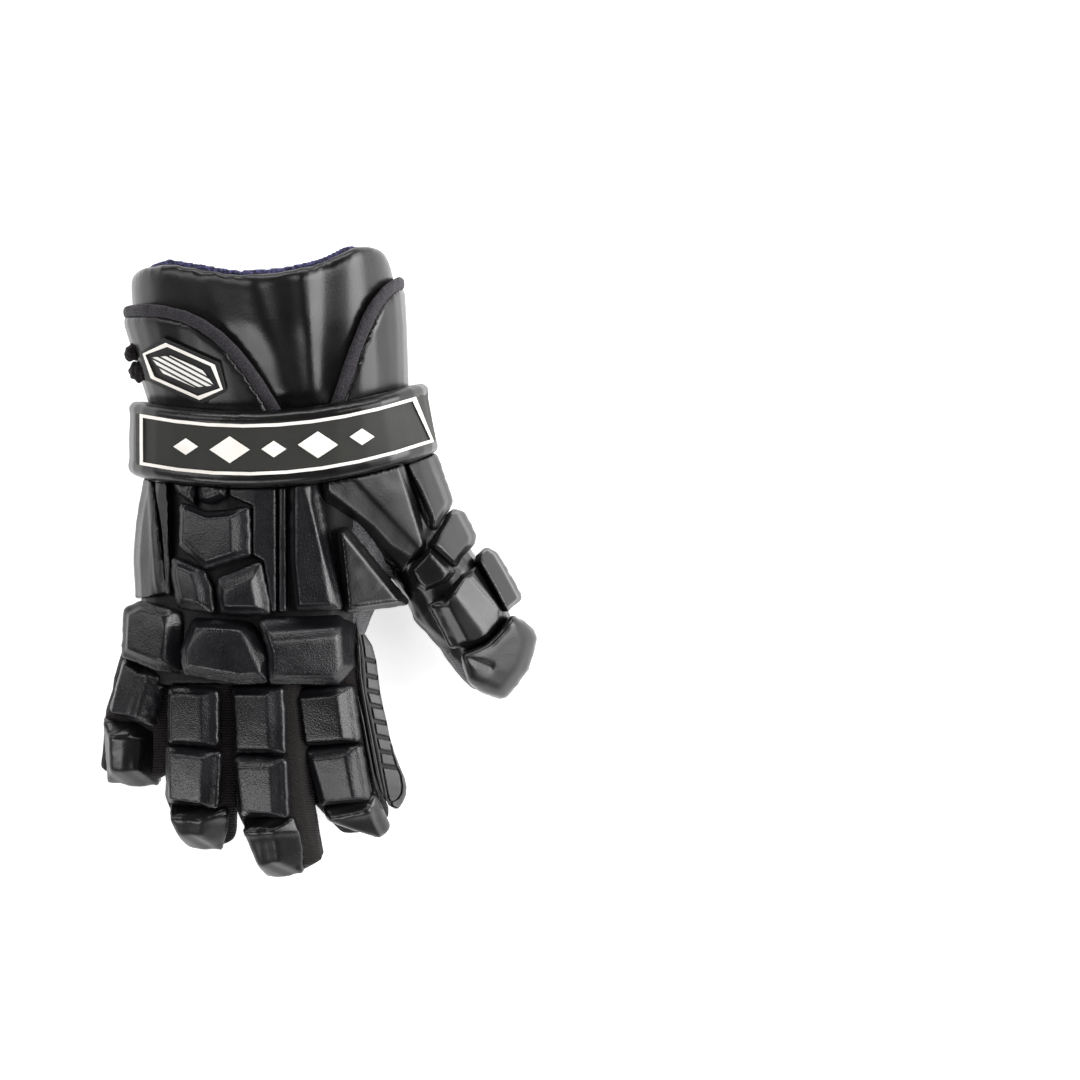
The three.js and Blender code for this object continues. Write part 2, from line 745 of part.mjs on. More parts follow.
// Each outline runs anticlockwise seen from above; bevel is the inset of the side that starts there
const knucklePads = {
  knuckle_pad_little: {
    tiltX: 0.05,
    rows: [
      { across: -0.030, up: -0.62, bevel: 0.35 },
      { across: 0.090, up: -0.80, bevel: 0.40 },
      { across: 0.184, up: -0.86, bevel: 0.75 },
      { across: 0.186, up: -0.20, bevel: 0.75 },
      { across: 0.172, up: -0.04, bevel: 0.30 },
      { across: 0.030, up: 0.06, bevel: 0.30 },
      { across: -0.022, up: 0.00, bevel: 0.15 },
    ],
  },
  knuckle_pad_middle: {
    rows: [
      { across: 0.197, up: -0.86, bevel: 0.35 },
      { across: 0.390, up: -0.99, bevel: 0.35 },
      { across: 0.496, up: -0.97, bevel: 0.35 },
      { across: 0.492, up: -0.60, bevel: 0.60 },
      { across: 0.440, up: -0.17, bevel: 0.35 },
      { across: 0.230, up: -0.13, bevel: 0.20 },
      { across: 0.186, up: -0.56, bevel: 0.20 },
    ],
  },
  knuckle_pad_index: {
    rows: [
      { across: 0.508, up: -0.98, bevel: 0.35 },
      { across: 0.750, up: -1.00, bevel: 0.40 },
      { across: 0.812, up: -0.76, bevel: 0.55 },
      { across: 0.806, up: -0.20, bevel: 0.45 },
      { across: 0.760, up: -0.06, bevel: 0.60 },
      { across: 0.470, up: -0.14, bevel: 0.20 },
      { across: 0.506, up: -0.60, bevel: 0.20 },
    ],
  },
};
for (const [name, { rows, tiltX }] of Object.entries(knucklePads)) {
  const pad = planPad(rows, { ...onBack, rise: knucklePadRise, shoulder: padShoulder, tiltX });
  addPiece(name, pad.subtract(bodies), 'leather');
}

const backPads = {
  small_pad_outer: {
    rows: [
      { across: 0.166, up: 0.950, bevel: 0.20 },
      { across: 0.230, up: 0.850, bevel: 0.30 },
      { across: 0.232, up: 1.060, bevel: 0.10 },
      { across: 0.147, up: 1.060, bevel: 0.20 },
    ],
  },
  small_pad_inner: {
    rows: [
      { across: 0.253, up: 0.900, bevel: 0.20 },
      { across: 0.275, up: 0.860, bevel: 0.30 },
      { across: 0.345, up: 0.920, bevel: 0.30 },
      { across: 0.348, up: 1.060, bevel: 0.10 },
      { across: 0.250, up: 1.060, bevel: 0.20 },
    ],
  },
  shield_pad: {
    rows: [
      { across: 0.180, up: 0.530, bevel: 0.25 },
      { across: 0.271, up: 0.345, bevel: 0.30 },
      { across: 0.430, up: 0.460, bevel: 0.85 },
      { across: 0.426, up: 0.830, bevel: 0.25 },
      { across: 0.350, up: 0.800, bevel: 0.25 },
      { across: 0.271, up: 0.785, bevel: 0.20 },
      { across: 0.184, up: 0.860, bevel: 0.15 },
    ],
  },
  lower_pad_outer: {
    rows: [
      { across: 0.176, up: 0.030, bevel: 0.35 },
      { across: 0.297, up: -0.020, bevel: 0.70 },
      { across: 0.290, up: 0.165, bevel: 0.60 },
      { across: 0.262, up: 0.318, bevel: 0.30 },
      { across: 0.152, up: 0.420, bevel: 0.20 },
      { across: 0.150, up: 0.280, bevel: 0.20 },
    ],
  },
  lower_pad_inner: {
    rows: [
      { across: 0.331, up: -0.030, bevel: 0.30 },
      { across: 0.500, up: -0.040, bevel: 0.60 },
      { across: 0.496, up: 0.090, bevel: 0.60 },
      { across: 0.469, up: 0.385, bevel: 0.60 },
      { across: 0.320, up: 0.255, bevel: 0.30 },
      { across: 0.317, up: 0.145, bevel: 0.20 },
    ],
  },
};
for (const [name, { rows }] of Object.entries(backPads)) {
  const pad = planPad(rows, { ...onBack, rise: backPadRise, shoulder: padShoulder });
  addPiece(name, pad.subtract(bodies), 'leather');
}

// Long pads over the thumb side of the back
const sidePads = {
  wedge_pad: {
    rows: [
      { across: 0.586, up: 1.300, bevel: 0.15 },
      { across: 0.586, up: 0.406, bevel: 0.15 },
      { across: 0.604, up: 0.006, bevel: 0.25 },
      { across: 0.762, up: 0.020, bevel: 0.45 },
      { across: 0.676, up: 1.000, bevel: 0.30 },
      { across: 0.672, up: 1.300, bevel: 0.10 },
    ],
  },
  thumb_crotch_pad: {
    rows: [
      { across: 0.756, up: 0.640, bevel: 0.20 },
      { across: 0.784, up: -0.015, bevel: 0.25 },
      { across: 1.003, up: 0.060, bevel: 0.45 },
      { across: 0.786, up: 0.660, bevel: 0.15 },
    ],
  },
  thumb_base_pad: {
    rows: [
      { across: 0.690, up: 1.300, bevel: 0.25 },
      { across: 0.703, up: 0.864, bevel: 0.60 },
      { across: 0.776, up: 0.735, bevel: 0.80 },
      { across: 0.900, up: 0.435, bevel: 0.75 },
      { across: 0.981, up: 0.330, bevel: 0.20 },
      { across: 1.034, up: 0.406, bevel: 0.20 },
      { across: 1.074, up: 0.529, bevel: 0.15 },
      { across: 0.966, up: 1.300, bevel: 0.10 },
    ],
  },
};
for (const [name, { rows }] of Object.entries(sidePads)) {
  const pad = planPad(rows, { ...onBack, rise: backPadRise, shoulder: padShoulder });
  addPiece(name, pad.subtract(bodies), 'leather');
}

// Flutes and strips that follow the back at one thickness
const strips = {
  side_flute_outer: [
    { across: -0.120, up: 1.30 },
    { across: -0.120, up: 0.12 },
    { across: 0.030, up: 0.10 },
    { across: 0.118, up: 0.145 },
    { across: 0.100, up: 0.650 },
    { across: 0.080, up: 1.030 },
    { across: 0.076, up: 1.300 },
  ],
  side_flute_inner: [
    { across: 0.081, up: 1.300 },
    { across: 0.083, up: 1.000 },
    { across: 0.110, up: 0.650 },
    { across: 0.128, up: 0.130 },
    { across: 0.141, up: 0.130 },
    { across: 0.130, up: 1.000 },
    { across: 0.130, up: 1.300 },
  ],
  back_strip_long: [
    { across: 0.360, up: 1.300 },
    { across: 0.360, up: 0.930 },
    { across: 0.442, up: 0.850 },
    { across: 0.442, up: 0.450 },
    { across: 0.482, up: 0.400 },
    { across: 0.510, up: -0.020 },
    { across: 0.528, up: -0.020 },
    { across: 0.528, up: 1.300 },
  ],
  back_strip_narrow: [
    { across: 0.538, up: 1.300 },
    { across: 0.538, up: -0.020 },
    { across: 0.564, up: -0.020 },
    { across: 0.564, up: 1.300 },
  ],
};
const stripLow = 0.25 * handHeight;
for (const [name, rows] of Object.entries(strips)) {
  const outline = rows.map((row) => [backX(row.across), backY(row.up)]);
  const layer = handBody(stripRise, handFront, wristY + 2 * clearance);
  const strip = prism(outline, stripLow, wayOut).intersect(layer).subtract(bodies);
  addPiece(name, strip, 'leather');
}

// Thumb pads
const thumbPads = {
  thumb_outer_pad_1: {
    rows: [
      { across: 0.130, along: -0.090, bevel: 0.20 },
      { across: 0.115, along: 0.183, bevel: 0.20 },
      { across: 0.098, along: 0.268, bevel: 0.25 },
      { across: 0.313, along: 0.217, bevel: 0.25 },
      { across: 0.383, along: 0.198, bevel: 0.35 },
      { across: 0.413, along: 0.167, bevel: 0.45 },
      { across: 0.467, along: -0.008, bevel: 0.20 },
      { across: 0.420, along: -0.090, bevel: 0.10 },
    ],
  },
  thumb_outer_pad_2: {
    rows: [
      { across: 0.115, along: 0.290, bevel: 0.20 },
      { across: 0.000, along: 0.325, bevel: 0.25 },
      { across: 0.119, along: 0.442, bevel: 0.30 },
      { across: 0.400, along: 0.388, bevel: 0.35 },
      { across: 0.450, along: 0.362, bevel: 0.45 },
      { across: 0.450, along: 0.262, bevel: 0.20 },
      { across: 0.398, along: 0.240, bevel: 0.20 },
      { across: 0.325, along: 0.238, bevel: 0.20 },
    ],
  },
  thumb_middle_pad: {
    rows: [
      { across: -0.085, along: 0.342, bevel: 0.20 },
      { across: -0.342, along: 0.376, bevel: 0.35 },
      { across: -0.342, along: 0.442, bevel: 0.30 },
      { across: -0.300, along: 0.471, bevel: 0.20 },
      { across: -0.038, along: 0.476, bevel: 0.35 },
      { across: 0.084, along: 0.459, bevel: 0.50 },
      { across: -0.017, along: 0.342, bevel: 0.15 },
    ],
  },
  thumb_long_pad: {
    rows: [
      { across: 0.140, along: 0.492, bevel: 0.20 },
      { across: -0.121, along: 0.546, bevel: 0.30 },
      { across: -0.321, along: 0.542, bevel: 1.35 },
      { across: -0.313, along: 0.730, bevel: 0.35 },
      { across: -0.140, along: 0.760, bevel: 0.20 },
      { across: 0.075, along: 0.763, bevel: 0.20 },
      { across: 0.310, along: 0.730, bevel: 0.30 },
      { across: 0.380, along: 0.683, bevel: 0.35 },
      { across: 0.308, along: 0.490, bevel: 0.20 },
    ],
  },
  thumb_outer_pad_3: {
    rows: [
      { across: 0.365, along: 0.452, bevel: 0.15 },
      { across: 0.372, along: 0.520, bevel: 0.20 },
      { across: 0.388, along: 0.700, bevel: 0.20 },
      { across: 0.573, along: 0.683, bevel: 0.20 },
      { across: 0.592, along: 0.660, bevel: 0.40 },
      { across: 0.573, along: 0.482, bevel: 0.15 },
      { across: 0.510, along: 0.440, bevel: 0.15 },
    ],
  },
  thumb_tip_cap: {
    rows: [
      { across: -0.262, along: 0.776, bevel: 0.20 },
      { across: -0.323, along: 0.902, bevel: 0.30 },
      { across: -0.240, along: 0.960, bevel: 0.45 },
      { across: -0.060, along: 1.028, bevel: 0.55 },
      { across: 0.310, along: 0.962, bevel: 0.60 },
      { across: 0.550, along: 0.862, bevel: 0.60 },
      { across: 0.540, along: 0.810, bevel: 0.30 },
      { across: 0.412, along: 0.728, bevel: 0.25 },
      { across: 0.320, along: 0.750, bevel: 0.25 },
      { across: 0.067, along: 0.785, bevel: 0.20 },
      { across: -0.150, along: 0.783, bevel: 0.20 },
    ],
  },
};
for (const [name, { rows }] of Object.entries(thumbPads)) {
  const pad = planPad(rows, { ...onThumb, rise: thumbPadRise, shoulder: thumbPadShoulder });
  addPiece(name, pad.subtract(bodies), 'leather');
}

// Rubber strip along the thumb side of the index finger: a leaning slab with raised cells
const index = fingers.at(-1);
const stripLead = 0.62 * knuckleLength;
const stripTail = 0.38 * index.pads.at(-1).length;
const stripDrop = 0.18 * fingerDepth;
const stripFall = 0.42 * fingerDepth;
const stripSpreads = [6.5, 8, 11.5, 13.5, 13.5];
const stripThickness = 3.6;
const cellRise = 1.2;
const cellMargin = 1.1;
const cellCount = 9;
const [cellInner, cellOuter] = [0.16, 0.9];
const stripSteps = 10;
const stripEndShare = 0.05;
const endSteps = [0, 0.08, 0.3, 0.6, 1];
const stripStops = [
  { joint: index.joints[0].clone().addScaledVector(index.frames[0].along, -stripLead), frame: 0, pad: 0 },
  { joint: index.joints[0], frame: 0, pad: 0 },
  { joint: index.joints[1], frame: 1, pad: 0 },
  { joint: index.joints[2], frame: 1, pad: 1 },
  { joint: index.joints[2].clone().addScaledVector(index.frames[2].along, stripTail), frame: 1, pad: 2 },
];
const stripLengths = stripStops.slice(1).map((stop, i) => stop.joint.distanceTo(stripStops[i].joint));
const stripLength = stripLengths.reduce((sum, length) => sum + length, 0);

// A point on the strip: its share along, out from the finger, and off the slab's face
function stripPoint(share, out, off) {
  let left = share * stripLength;
  let k = 0;
  while (k < stripLengths.length - 1 && left > stripLengths[k]) {
    left -= stripLengths[k];
    k += 1;
  }
  const mix = left / stripLengths[k];
  const [a, b] = [stripStops[k], stripStops[k + 1]];
  const joint = a.joint.clone().lerp(b.joint, mix);
  const across = index.frames[a.frame].across.clone().lerp(index.frames[b.frame].across, mix).normalize();
  const normal = index.frames[a.frame].normal.clone().lerp(index.frames[b.frame].normal, mix).normalize();
  const half = lerp(index.pads[a.pad].width, index.pads[b.pad].width, mix) / 2 + sleeveMargin + clearance;
  const spread = lerp(stripSpreads[k], stripSpreads[k + 1], mix);
  const slope = Math.atan2(stripFall, spread);
  const offAcross = Math.sin(slope) * off;
  const offNormal = Math.cos(slope) * off;
  return joint
    .addScaledVector(across, half + out * spread + offAcross)
    .addScaledVector(normal, -stripDrop - out * stripFall + offNormal);
}

// How far in from each side the strip's outline comes near its two round ends
function endInset(share) {
  const left = Math.min(share, 1 - share) / stripEndShare;
  return left >= 1 ? 0 : 0.5 * (1 - Math.sqrt(1 - (1 - left) ** 2)) * (1 - endSteps[1]);
}
function stripSlab(shares, inner, outer, low, high) {
  return loft(shares.map((share) => {
    const inset = endInset(share);
    const [near, far] = [lerp(inner, outer, inset), lerp(outer, inner, inset)];
    return [[near, high], [far, high], [far, low], [near, low]].map(([out, off]) => stripPoint(share, out, off));
  }));
}
const evenShares = Array.from({ length: stripSteps - 1 }, (_, i) => (i + 1) / stripSteps);
const headShares = endSteps.map((step) => step * stripEndShare);
const tailShares = headShares.map((share) => 1 - share).reverse();
let sideStrip = stripSlab([...headShares, ...evenShares, ...tailShares], 0, 1, -stripThickness, 0);
for (let i = 0; i < cellCount; i += 1) {
  const margin = cellMargin / stripLength;
  const [from, to] = [i / cellCount + margin, (i + 1) / cellCount - margin];
  const stops = [from, ...headShares, ...tailShares, to].filter((share) => share >= from && share <= to);
  const shares = [...new Set(stops)].sort((a, b) => a - b);
  sideStrip = sideStrip.add(stripSlab(shares, cellInner, cellOuter, -clearance, cellRise));
}
const shifts = [[1, 0, 0], [-1, 0, 0], [0, 1, 0], [0, -1, 0], [0, 0, 1], [0, 0, -1], [0.7, -0.7, 0]];
let stripSeat = bodies;
for (const piece of glove.children.filter((child) => /^(index|knuckle_pad_index)/.test(child.name))) {
  const pad = solidFromGeometry(piece.geometry.clone());
  for (const shift of shifts) {
    stripSeat = stripSeat.add(pad.translate(shift.map((step) => step * clearance)));
  }
}
addPiece('index_side_strip', sideStrip.subtract(stripSeat), 'rubber');

// Cuff parts
const rimTable = [
  { across: -0.70, up: 0.740 },
  { across: -0.615, up: 0.780 },
  { across: -0.607, up: 0.850 },
  { across: -0.540, up: 0.900 },
  { across: -0.444, up: 0.914 },
  { across: -0.330, up: 0.890 },
  { across: -0.174, up: 0.860 },
  { across: -0.019, up: 0.873 },
  { across: 0.136, up: 0.914 },
  { across: 0.259, up: 0.983 },
  { across: 0.311, up: 0.997 },
  { across: 0.369, up: 0.975 },
  { across: 0.400, up: 0.900 },
  { across: 0.415, up: 0.800 },
  { across: 0.520, up: 0.740 },
];
const rimPrism = (stand, from) => prism(
  [
    ...rimTable.map(({ across, up }) => [cuffX(across), cuffY(up) + stand]),
    [cuffX(rimTable.at(-1).across), from],
    [cuffX(rimTable[0].across), from],
  ],
  -wayOut,
  wayOut,
);

// Everything behind a leaning plane, so that the palm side of the cuff ends short of its back
const palmRimTop = 0.6 * cuffHeight;
const behindPalmRim = loft([-wayOut, wayOut].map((x) => [
  plan(x, wayOut, -wayOut),
  plan(x, wayOut, palmRimTop),
  plan(x, cuffEnd, palmRimTop),
  plan(x, cuffEnd - palmRimSetback, -clearance),
  plan(x, cuffEnd - palmRimSetback, -wayOut),
]));
const cuffSplit = 0.3 * cuffHeight;
const liningFoot = cuffY(0.55);
const liningLow = 0.45 * cuffHeight;
const cuffTube = cuffBody(0, cuffStart, cuffEnd)
  .subtract(cuffBody(-cuffWall, cuffStart - cuffWall, cuffEnd + cuffWall))
  .intersect(rimPrism(0, 0))
  .subtract(behindPalmRim);
addPiece('cuff_back_panel', cuffTube.intersect(slab(cuffSplit + clearance, wayOut)), 'leather');
addPiece('cuff_palm_panel', cuffTube.intersect(slab(-wayOut, cuffSplit)), 'fabric');
const liningOuter = -cuffWall - clearance;
const liningBody = cuffBody(liningOuter, cuffStart, cuffEnd + cuffWall)
  .subtract(cuffBody(liningOuter - liningWall, cuffStart - cuffWall, cuffEnd + 2 * cuffWall))
  .intersect(rimPrism(liningStand, liningFoot))
  .intersect(slab(liningLow, wayOut))
  .subtract(behindPalmRim);
addPiece('cuff_lining', liningBody, 'lining');

// Wings over the sides of the cuff, each with a neoprene trim along its inner edge
const wings = {
  left: {
    far: -0.95,
    curve: [[-0.64, 0.724], [-0.345, 0.768], [-0.185, 0.612], [-0.007, 0.240]],
  },
  right: {
    far: 0.95,
    curve: [[0.452, 0.862], [0.316, 0.815], [0.259, 0.559], [0.163, 0.240]],
  },
};
const wingSteps = 9;
const wingFoot = 0.13;
function offsetLine(points, distance) {
  return points.map(([x, y], i) => {
    const [ax, ay] = points[Math.max(i - 1, 0)];
    const [bx, by] = points[Math.min(i + 1, points.length - 1)];
    const length = Math.hypot(bx - ax, by - ay);
    return [x + (distance * (by - ay)) / length, y - (distance * (bx - ax)) / length];
  });
}
const overCuff = (low, high) => (
  cuffBody(high, cuffStart, cuffEnd).subtract(cuffBody(low, cuffStart - clearance, cuffEnd + clearance))
);
const wingLayer = overCuff(clearance, clearance + wingThickness);
for (const [side, { far, curve }] of Object.entries(wings)) {
  const points = curve.map(([across, up]) => new THREE.Vector2(cuffX(across), cuffY(up)));
  const edge = new THREE.CubicBezierCurve(...points).getPoints(wingSteps).map((p) => [p.x, p.y]);
  const inward = far < 0 ? 1 : -1;
  const trimEdge = offsetLine(edge, inward * wingTrimWidth);
  const wingEdge = offsetLine(edge, inward * (wingTrimWidth + clearance));
  const feet = (line) => [
    [line.at(-1)[0], cuffY(wingFoot)],
    [cuffX(far), cuffY(wingFoot)],
    [cuffX(far), line[0][1]],
  ];
  const wing = prism([...wingEdge, ...feet(wingEdge)], wingLow, wayOut).intersect(wingLayer);
  addPiece(`cuff_wing_${side}`, wing, 'leather');
  const outside = prism([...edge, ...feet(edge)], wingLow, wayOut);
  const inside = prism([...trimEdge, ...feet(trimEdge)], 0, 2 * wayOut);
  const trim = outside.subtract(inside).intersect(wingLayer);
  addPiece(`wing_trim_${side}`, trim, 'neoprene');
}

// Badge on the left wing: a six-sided plate with a raised rim and a lozenge
const badgeMiddle = [cuffX(-0.395), cuffY(0.440)];
const [badgeHalfLength, badgeHalfWidth, badgePoint] = [25, 12, 9];
const badgeTurn = THREE.MathUtils.degToRad(-24);
const [badgeRise, badgeRimRise, badgeRimWidth, badgeRimMargin] = [2.6, 0.9, 1.6, 2];
const badgeLozengeHalfWidth = 5;
function badgeOutline(inset) {
  const [long, wide] = [badgeHalfLength - inset, badgeHalfWidth - inset];
  const corners = [[-long, 0], [badgePoint - long, -wide], [long - badgePoint, -wide], [long, 0],
    [long - badgePoint, wide], [badgePoint - long, wide]];
  return corners.map(([x, y]) => [
    badgeMiddle[0] + x * Math.cos(badgeTurn) - y * Math.sin(badgeTurn),
    badgeMiddle[1] + x * Math.sin(badgeTurn) + y * Math.cos(badgeTurn),
  ]);
}
const badgeSeat = 2 * clearance + wingThickness;
const badgeColumn = (inset) => prism(badgeOutline(inset), wingLow, wayOut);
addPiece('badge_plate', badgeColumn(0).intersect(overCuff(badgeSeat, badgeSeat + badgeRise)), 'rubber');
const rimSeat = badgeSeat + badgeRise + clearance;
const rimLayer = overCuff(rimSeat, rimSeat + badgeRimRise);
const rimRing = badgeColumn(badgeRimMargin).subtract(badgeColumn(badgeRimMargin + badgeRimWidth));
addPiece('badge_rim', rimRing.intersect(rimLayer), 'print');
const lozengeColumn = badgeColumn(badgeHalfWidth - badgeLozengeHalfWidth);
addPiece('badge_lozenge', lozengeColumn.intersect(rimLayer), 'print');

// Wrist band, built ring by ring across its width
const gloveRows = [...handRows, ...cuffRows.slice(1)];
const bandSeat = badgeSeat + 2 * clearance;
const bandCount = 32;
const bandPower = 4;
function bandRing(share, grow) {
  return Array.from({ length: bandCount }, (_, i) => {
    const turn = ringTurn(i, bandCount);
    const guess = sectionPoint(sectionAt(gloveRows, bandLowest + share * bandWidth), grow, turn);
    const y = bandEdge(guess[0]) + share * bandWidth;
    const [x, z] = sectionPoint(sectionAt(gloveRows, y), grow, turn);
    return plan(x, y, z);
  });
}
const bandStations = [0, 0.04, 0.16, 0.5, 0.84, 0.96, 1];
function bandRoll(grow) {
  const swell = (share) => (
    (bandThickness - bandEdgeThickness) * (1 - Math.abs(2 * share - 1) ** bandPower) ** (1 / bandPower)
  );
  const outer = bandStations.map((share) => (
    bandRing(share, bandSeat + bandEdgeThickness + swell(share) + grow)
  ));
  const inner = bandStations.filter((share) => share === 0 || share === 0.5 || share === 1)
    .reverse().map((share) => bandRing(share, bandSeat));
  return loftRound([...outer, ...inner]);
}
const bandWindow = slab(bandEndHeight, wayOut);
addPiece('wrist_band', bandRoll(0).intersect(bandWindow), 'leather');

// Raised print on the band: a frame and a row of lozenges
const printLayer = bandRoll(clearance + labelRise).subtract(bandRoll(clearance)).intersect(bandWindow);
const [labelLeft, labelRightTop, labelRightFoot] = [backX(0.030), backX(1.035), backX(1.100)];
const labelSteps = 8;
function labelPrism(inset) {
  const drop = labelMargin + inset;
  const line = (right, rise) => Array.from({ length: labelSteps + 1 }, (_, i) => {
    const x = lerp(labelLeft + inset, right - inset, i / labelSteps);
    return [x, bandEdge(x) + rise];
  });
  const [foot, head] = [line(labelRightFoot, drop), line(labelRightTop, bandWidth - drop)];
  return prism([...foot, ...head.reverse()], bandEndHeight, wayOut);
}
addPiece('label_frame', labelPrism(0).subtract(labelPrism(labelLine)).intersect(printLayer), 'print');
const markTable = [
  { across: 0.20, size: 0.62 },
  { across: 0.36, size: 1.00 },
  { across: 0.52, size: 0.62 },
  { across: 0.68, size: 1.00 },
  { across: 0.84, size: 0.62 },
];
const [markHalfLength, markHalfWidth] = [10.5, 7];
markTable.forEach(({ across, size }, i) => {
  const x = backX(across);
  const y = bandEdge(x) + bandWidth / 2;
  const [long, wide] = [markHalfLength * size, markHalfWidth * size];
  const lozenge = prism([[x - long, y], [x, y - wide], [x + long, y], [x, y + wide]], 0, wayOut);
  addPiece(`band_mark_${i + 1}`, lozenge.intersect(printLayer), 'print');
});

// Knotted lace ends at the little side of the cuff
const lacePlaces = [
  { up: 0.525, height: 0.50, radius: 4.6 },
  { up: 0.440, height: 0.47, radius: 5.4 },
];
const knotSegments = [10, 6];
lacePlaces.forEach(({ up, height, radius }, i) => {
  const y = cuffY(up);
  const side = sectionAt(cuffRows, y).left - clearance - wingThickness;
  const knot = new THREE.SphereGeometry(radius, ...knotSegments);
  knot.translate(side, y, height * cuffHeight);
  const seat = cuffBody(2 * clearance + wingThickness, cuffStart, cuffEnd);
  addPiece(`lace_knot_${i + 1}`, solidFromGeometry(knot).subtract(seat), 'fabric');
});

export default glove;
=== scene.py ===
"""Right-hand lacrosse glove, dressed round its frame: leather pads, stretch cloth, cuff and band."""

import itertools
import logging
import math
from contextlib import contextmanager
from dataclasses import dataclass
from enum import Enum
from typing import Callable, Iterator, Sequence

import bpy
import numpy as np
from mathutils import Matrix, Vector
from mathutils.bvhtree import BVHTree


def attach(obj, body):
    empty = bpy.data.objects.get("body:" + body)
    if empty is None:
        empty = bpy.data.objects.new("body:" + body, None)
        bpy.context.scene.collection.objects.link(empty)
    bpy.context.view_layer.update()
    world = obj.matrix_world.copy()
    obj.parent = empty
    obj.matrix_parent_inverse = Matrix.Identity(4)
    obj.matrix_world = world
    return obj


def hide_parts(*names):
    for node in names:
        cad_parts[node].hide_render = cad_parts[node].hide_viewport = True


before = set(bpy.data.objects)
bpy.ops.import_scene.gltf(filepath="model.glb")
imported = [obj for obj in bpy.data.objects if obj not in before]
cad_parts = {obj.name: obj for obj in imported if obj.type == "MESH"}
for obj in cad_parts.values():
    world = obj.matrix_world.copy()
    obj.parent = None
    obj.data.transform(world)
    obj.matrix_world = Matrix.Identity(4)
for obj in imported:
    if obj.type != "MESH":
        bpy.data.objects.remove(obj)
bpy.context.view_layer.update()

LOG = logging.getLogger("glove")
MM = 0.001
ROOT = "root"
MERGE = 0.01 * MM
FLAT_ANGLE = math.radians(2)
SOFT_ANGLE = math.radians(80)
PIXEL = 0.523 * MM
ORIGIN_PIXEL = (260, 560)
IMAGE_SIDE = 1080

Values = float | np.ndarray
Pixel = tuple[float, float]
Route = tuple[Pixel, ...]
Colour = tuple[float, float, float]


class Slot(Enum):
    """The record's material slots."""

    PAD = "pad_leather"
    PALM = "palm_leather"
    STRETCH = "stretch_fabric"
    MESH = "grey_mesh"
    NEOPRENE = "neoprene"
    LINING = "lining"
    RUBBER = "grey_rubber"
    PRINT = "white_print"


class Look(Enum):
    """The finishes that the pieces wear, each with its material slot."""

    GRAINED = ("grained", Slot.PAD)
    SMOOTH = ("smooth", Slot.PAD)
    LABEL = ("label", Slot.PAD)
    PALM = ("palm", Slot.PALM)
    BED = ("bed", Slot.STRETCH)
    STRETCH = ("stretch", Slot.STRETCH)
    MESH = ("mesh", Slot.MESH)
    NEOPRENE = ("neoprene", Slot.NEOPRENE)
    LINING = ("lining", Slot.LINING)
    RUBBER = ("rubber", Slot.RUBBER)
    GROOVE = ("groove", Slot.RUBBER)
    PRINT = ("print", Slot.PRINT)
    STRIPED = ("striped", Slot.PRINT)

    @property
    def slot(self) -> Slot:
        """Gives the look's slot in the record."""
        return self.value[1]


def spot(column: Values, row: Values) -> tuple[Values, Values]:
    """Gives the x and y of a point of the photograph's frame."""
    return (column - ORIGIN_PIXEL[0]) * PIXEL, (ORIGIN_PIXEL[1] - row) * PIXEL


# Objects and meshes


def deselect() -> None:
    """Deselects every object."""
    bpy.ops.object.select_all(action="DESELECT")


def activate(piece: bpy.types.Object) -> None:
    """Selects one object alone and makes it active.

    Args:
        piece: The object.
    """
    deselect()
    piece.select_set(True)
    bpy.context.view_layer.objects.active = piece


@contextmanager
def editing(piece: bpy.types.Object, mode: str = "VERT") -> Iterator[bpy.types.Object]:
    """Edits one object's mesh inside a with block.

    Args:
        piece: The object.
        mode: What is selected: VERT, EDGE or FACE.

    Returns:
        The object, in edit mode.
    """
    activate(piece)
    bpy.ops.object.mode_set(mode="EDIT")
    bpy.ops.mesh.select_mode(type=mode)
    yield piece
    bpy.ops.object.mode_set(mode="OBJECT")


def apply_modifier(piece: bpy.types.Object, kind: str, **settings: object) -> None:
    """Adds a modifier to an object and applies it.

    Args:
        piece: The object.
        kind: The modifier's type.
        **settings: The modifier's settings.
    """
    activate(piece)
    modifier = piece.modifiers.new(kind.title(), kind)
    for name, value in settings.items():
        setattr(modifier, name, value)
    bpy.ops.object.modifier_apply(modifier=modifier.name)


def node_copy(node: str, name: str) -> bpy.types.Object:
    """Copies a frame node's mesh into a new object and merges it.

    Args:
        node: The frame node.
        name: The new object's name.

    Returns:
        The new object, with its doubles merged and its flat faces joined.
    """
    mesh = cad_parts[node].data.copy()
    mesh.name = name
    mesh.materials.clear()
    piece = bpy.data.objects.new(name, mesh)
    bpy.context.scene.collection.objects.link(piece)
    with editing(piece):
        bpy.ops.mesh.select_all(action="SELECT")
        bpy.ops.mesh.remove_doubles(threshold=MERGE)
        bpy.ops.mesh.dissolve_limited(angle_limit=FLAT_ANGLE)
    return piece


def rows_of(items: bpy.types.bpy_prop_collection, name: str) -> np.ndarray:
    """Reads one vector of every item.

    Args:
        items: A mesh's vertices or faces.
        name: The vector's name.

    Returns:
        A row of three numbers for each item.
    """
    flat = np.zeros(3 * len(items))
    items.foreach_get(name, flat)
    return flat.reshape(-1, 3)


def points_of(piece: bpy.types.Object) -> np.ndarray:
    """Gives an object's vertices as rows of three numbers."""
    return rows_of(piece.data.vertices, "co")


def normals_of(piece: bpy.types.Object) -> np.ndarray:
    """Gives an object's vertex normals as rows of three numbers."""
    return rows_of(piece.data.vertices, "normal")


def middles_of(piece: bpy.types.Object) -> np.ndarray:
    """Gives an object's face middles as rows of three numbers."""
    return rows_of(piece.data.polygons, "center")


def set_points(piece: bpy.types.Object, points: np.ndarray) -> None:
    """Moves an object's vertices to new places."""
    piece.data.vertices.foreach_set("co", points.ravel())
    piece.data.update()


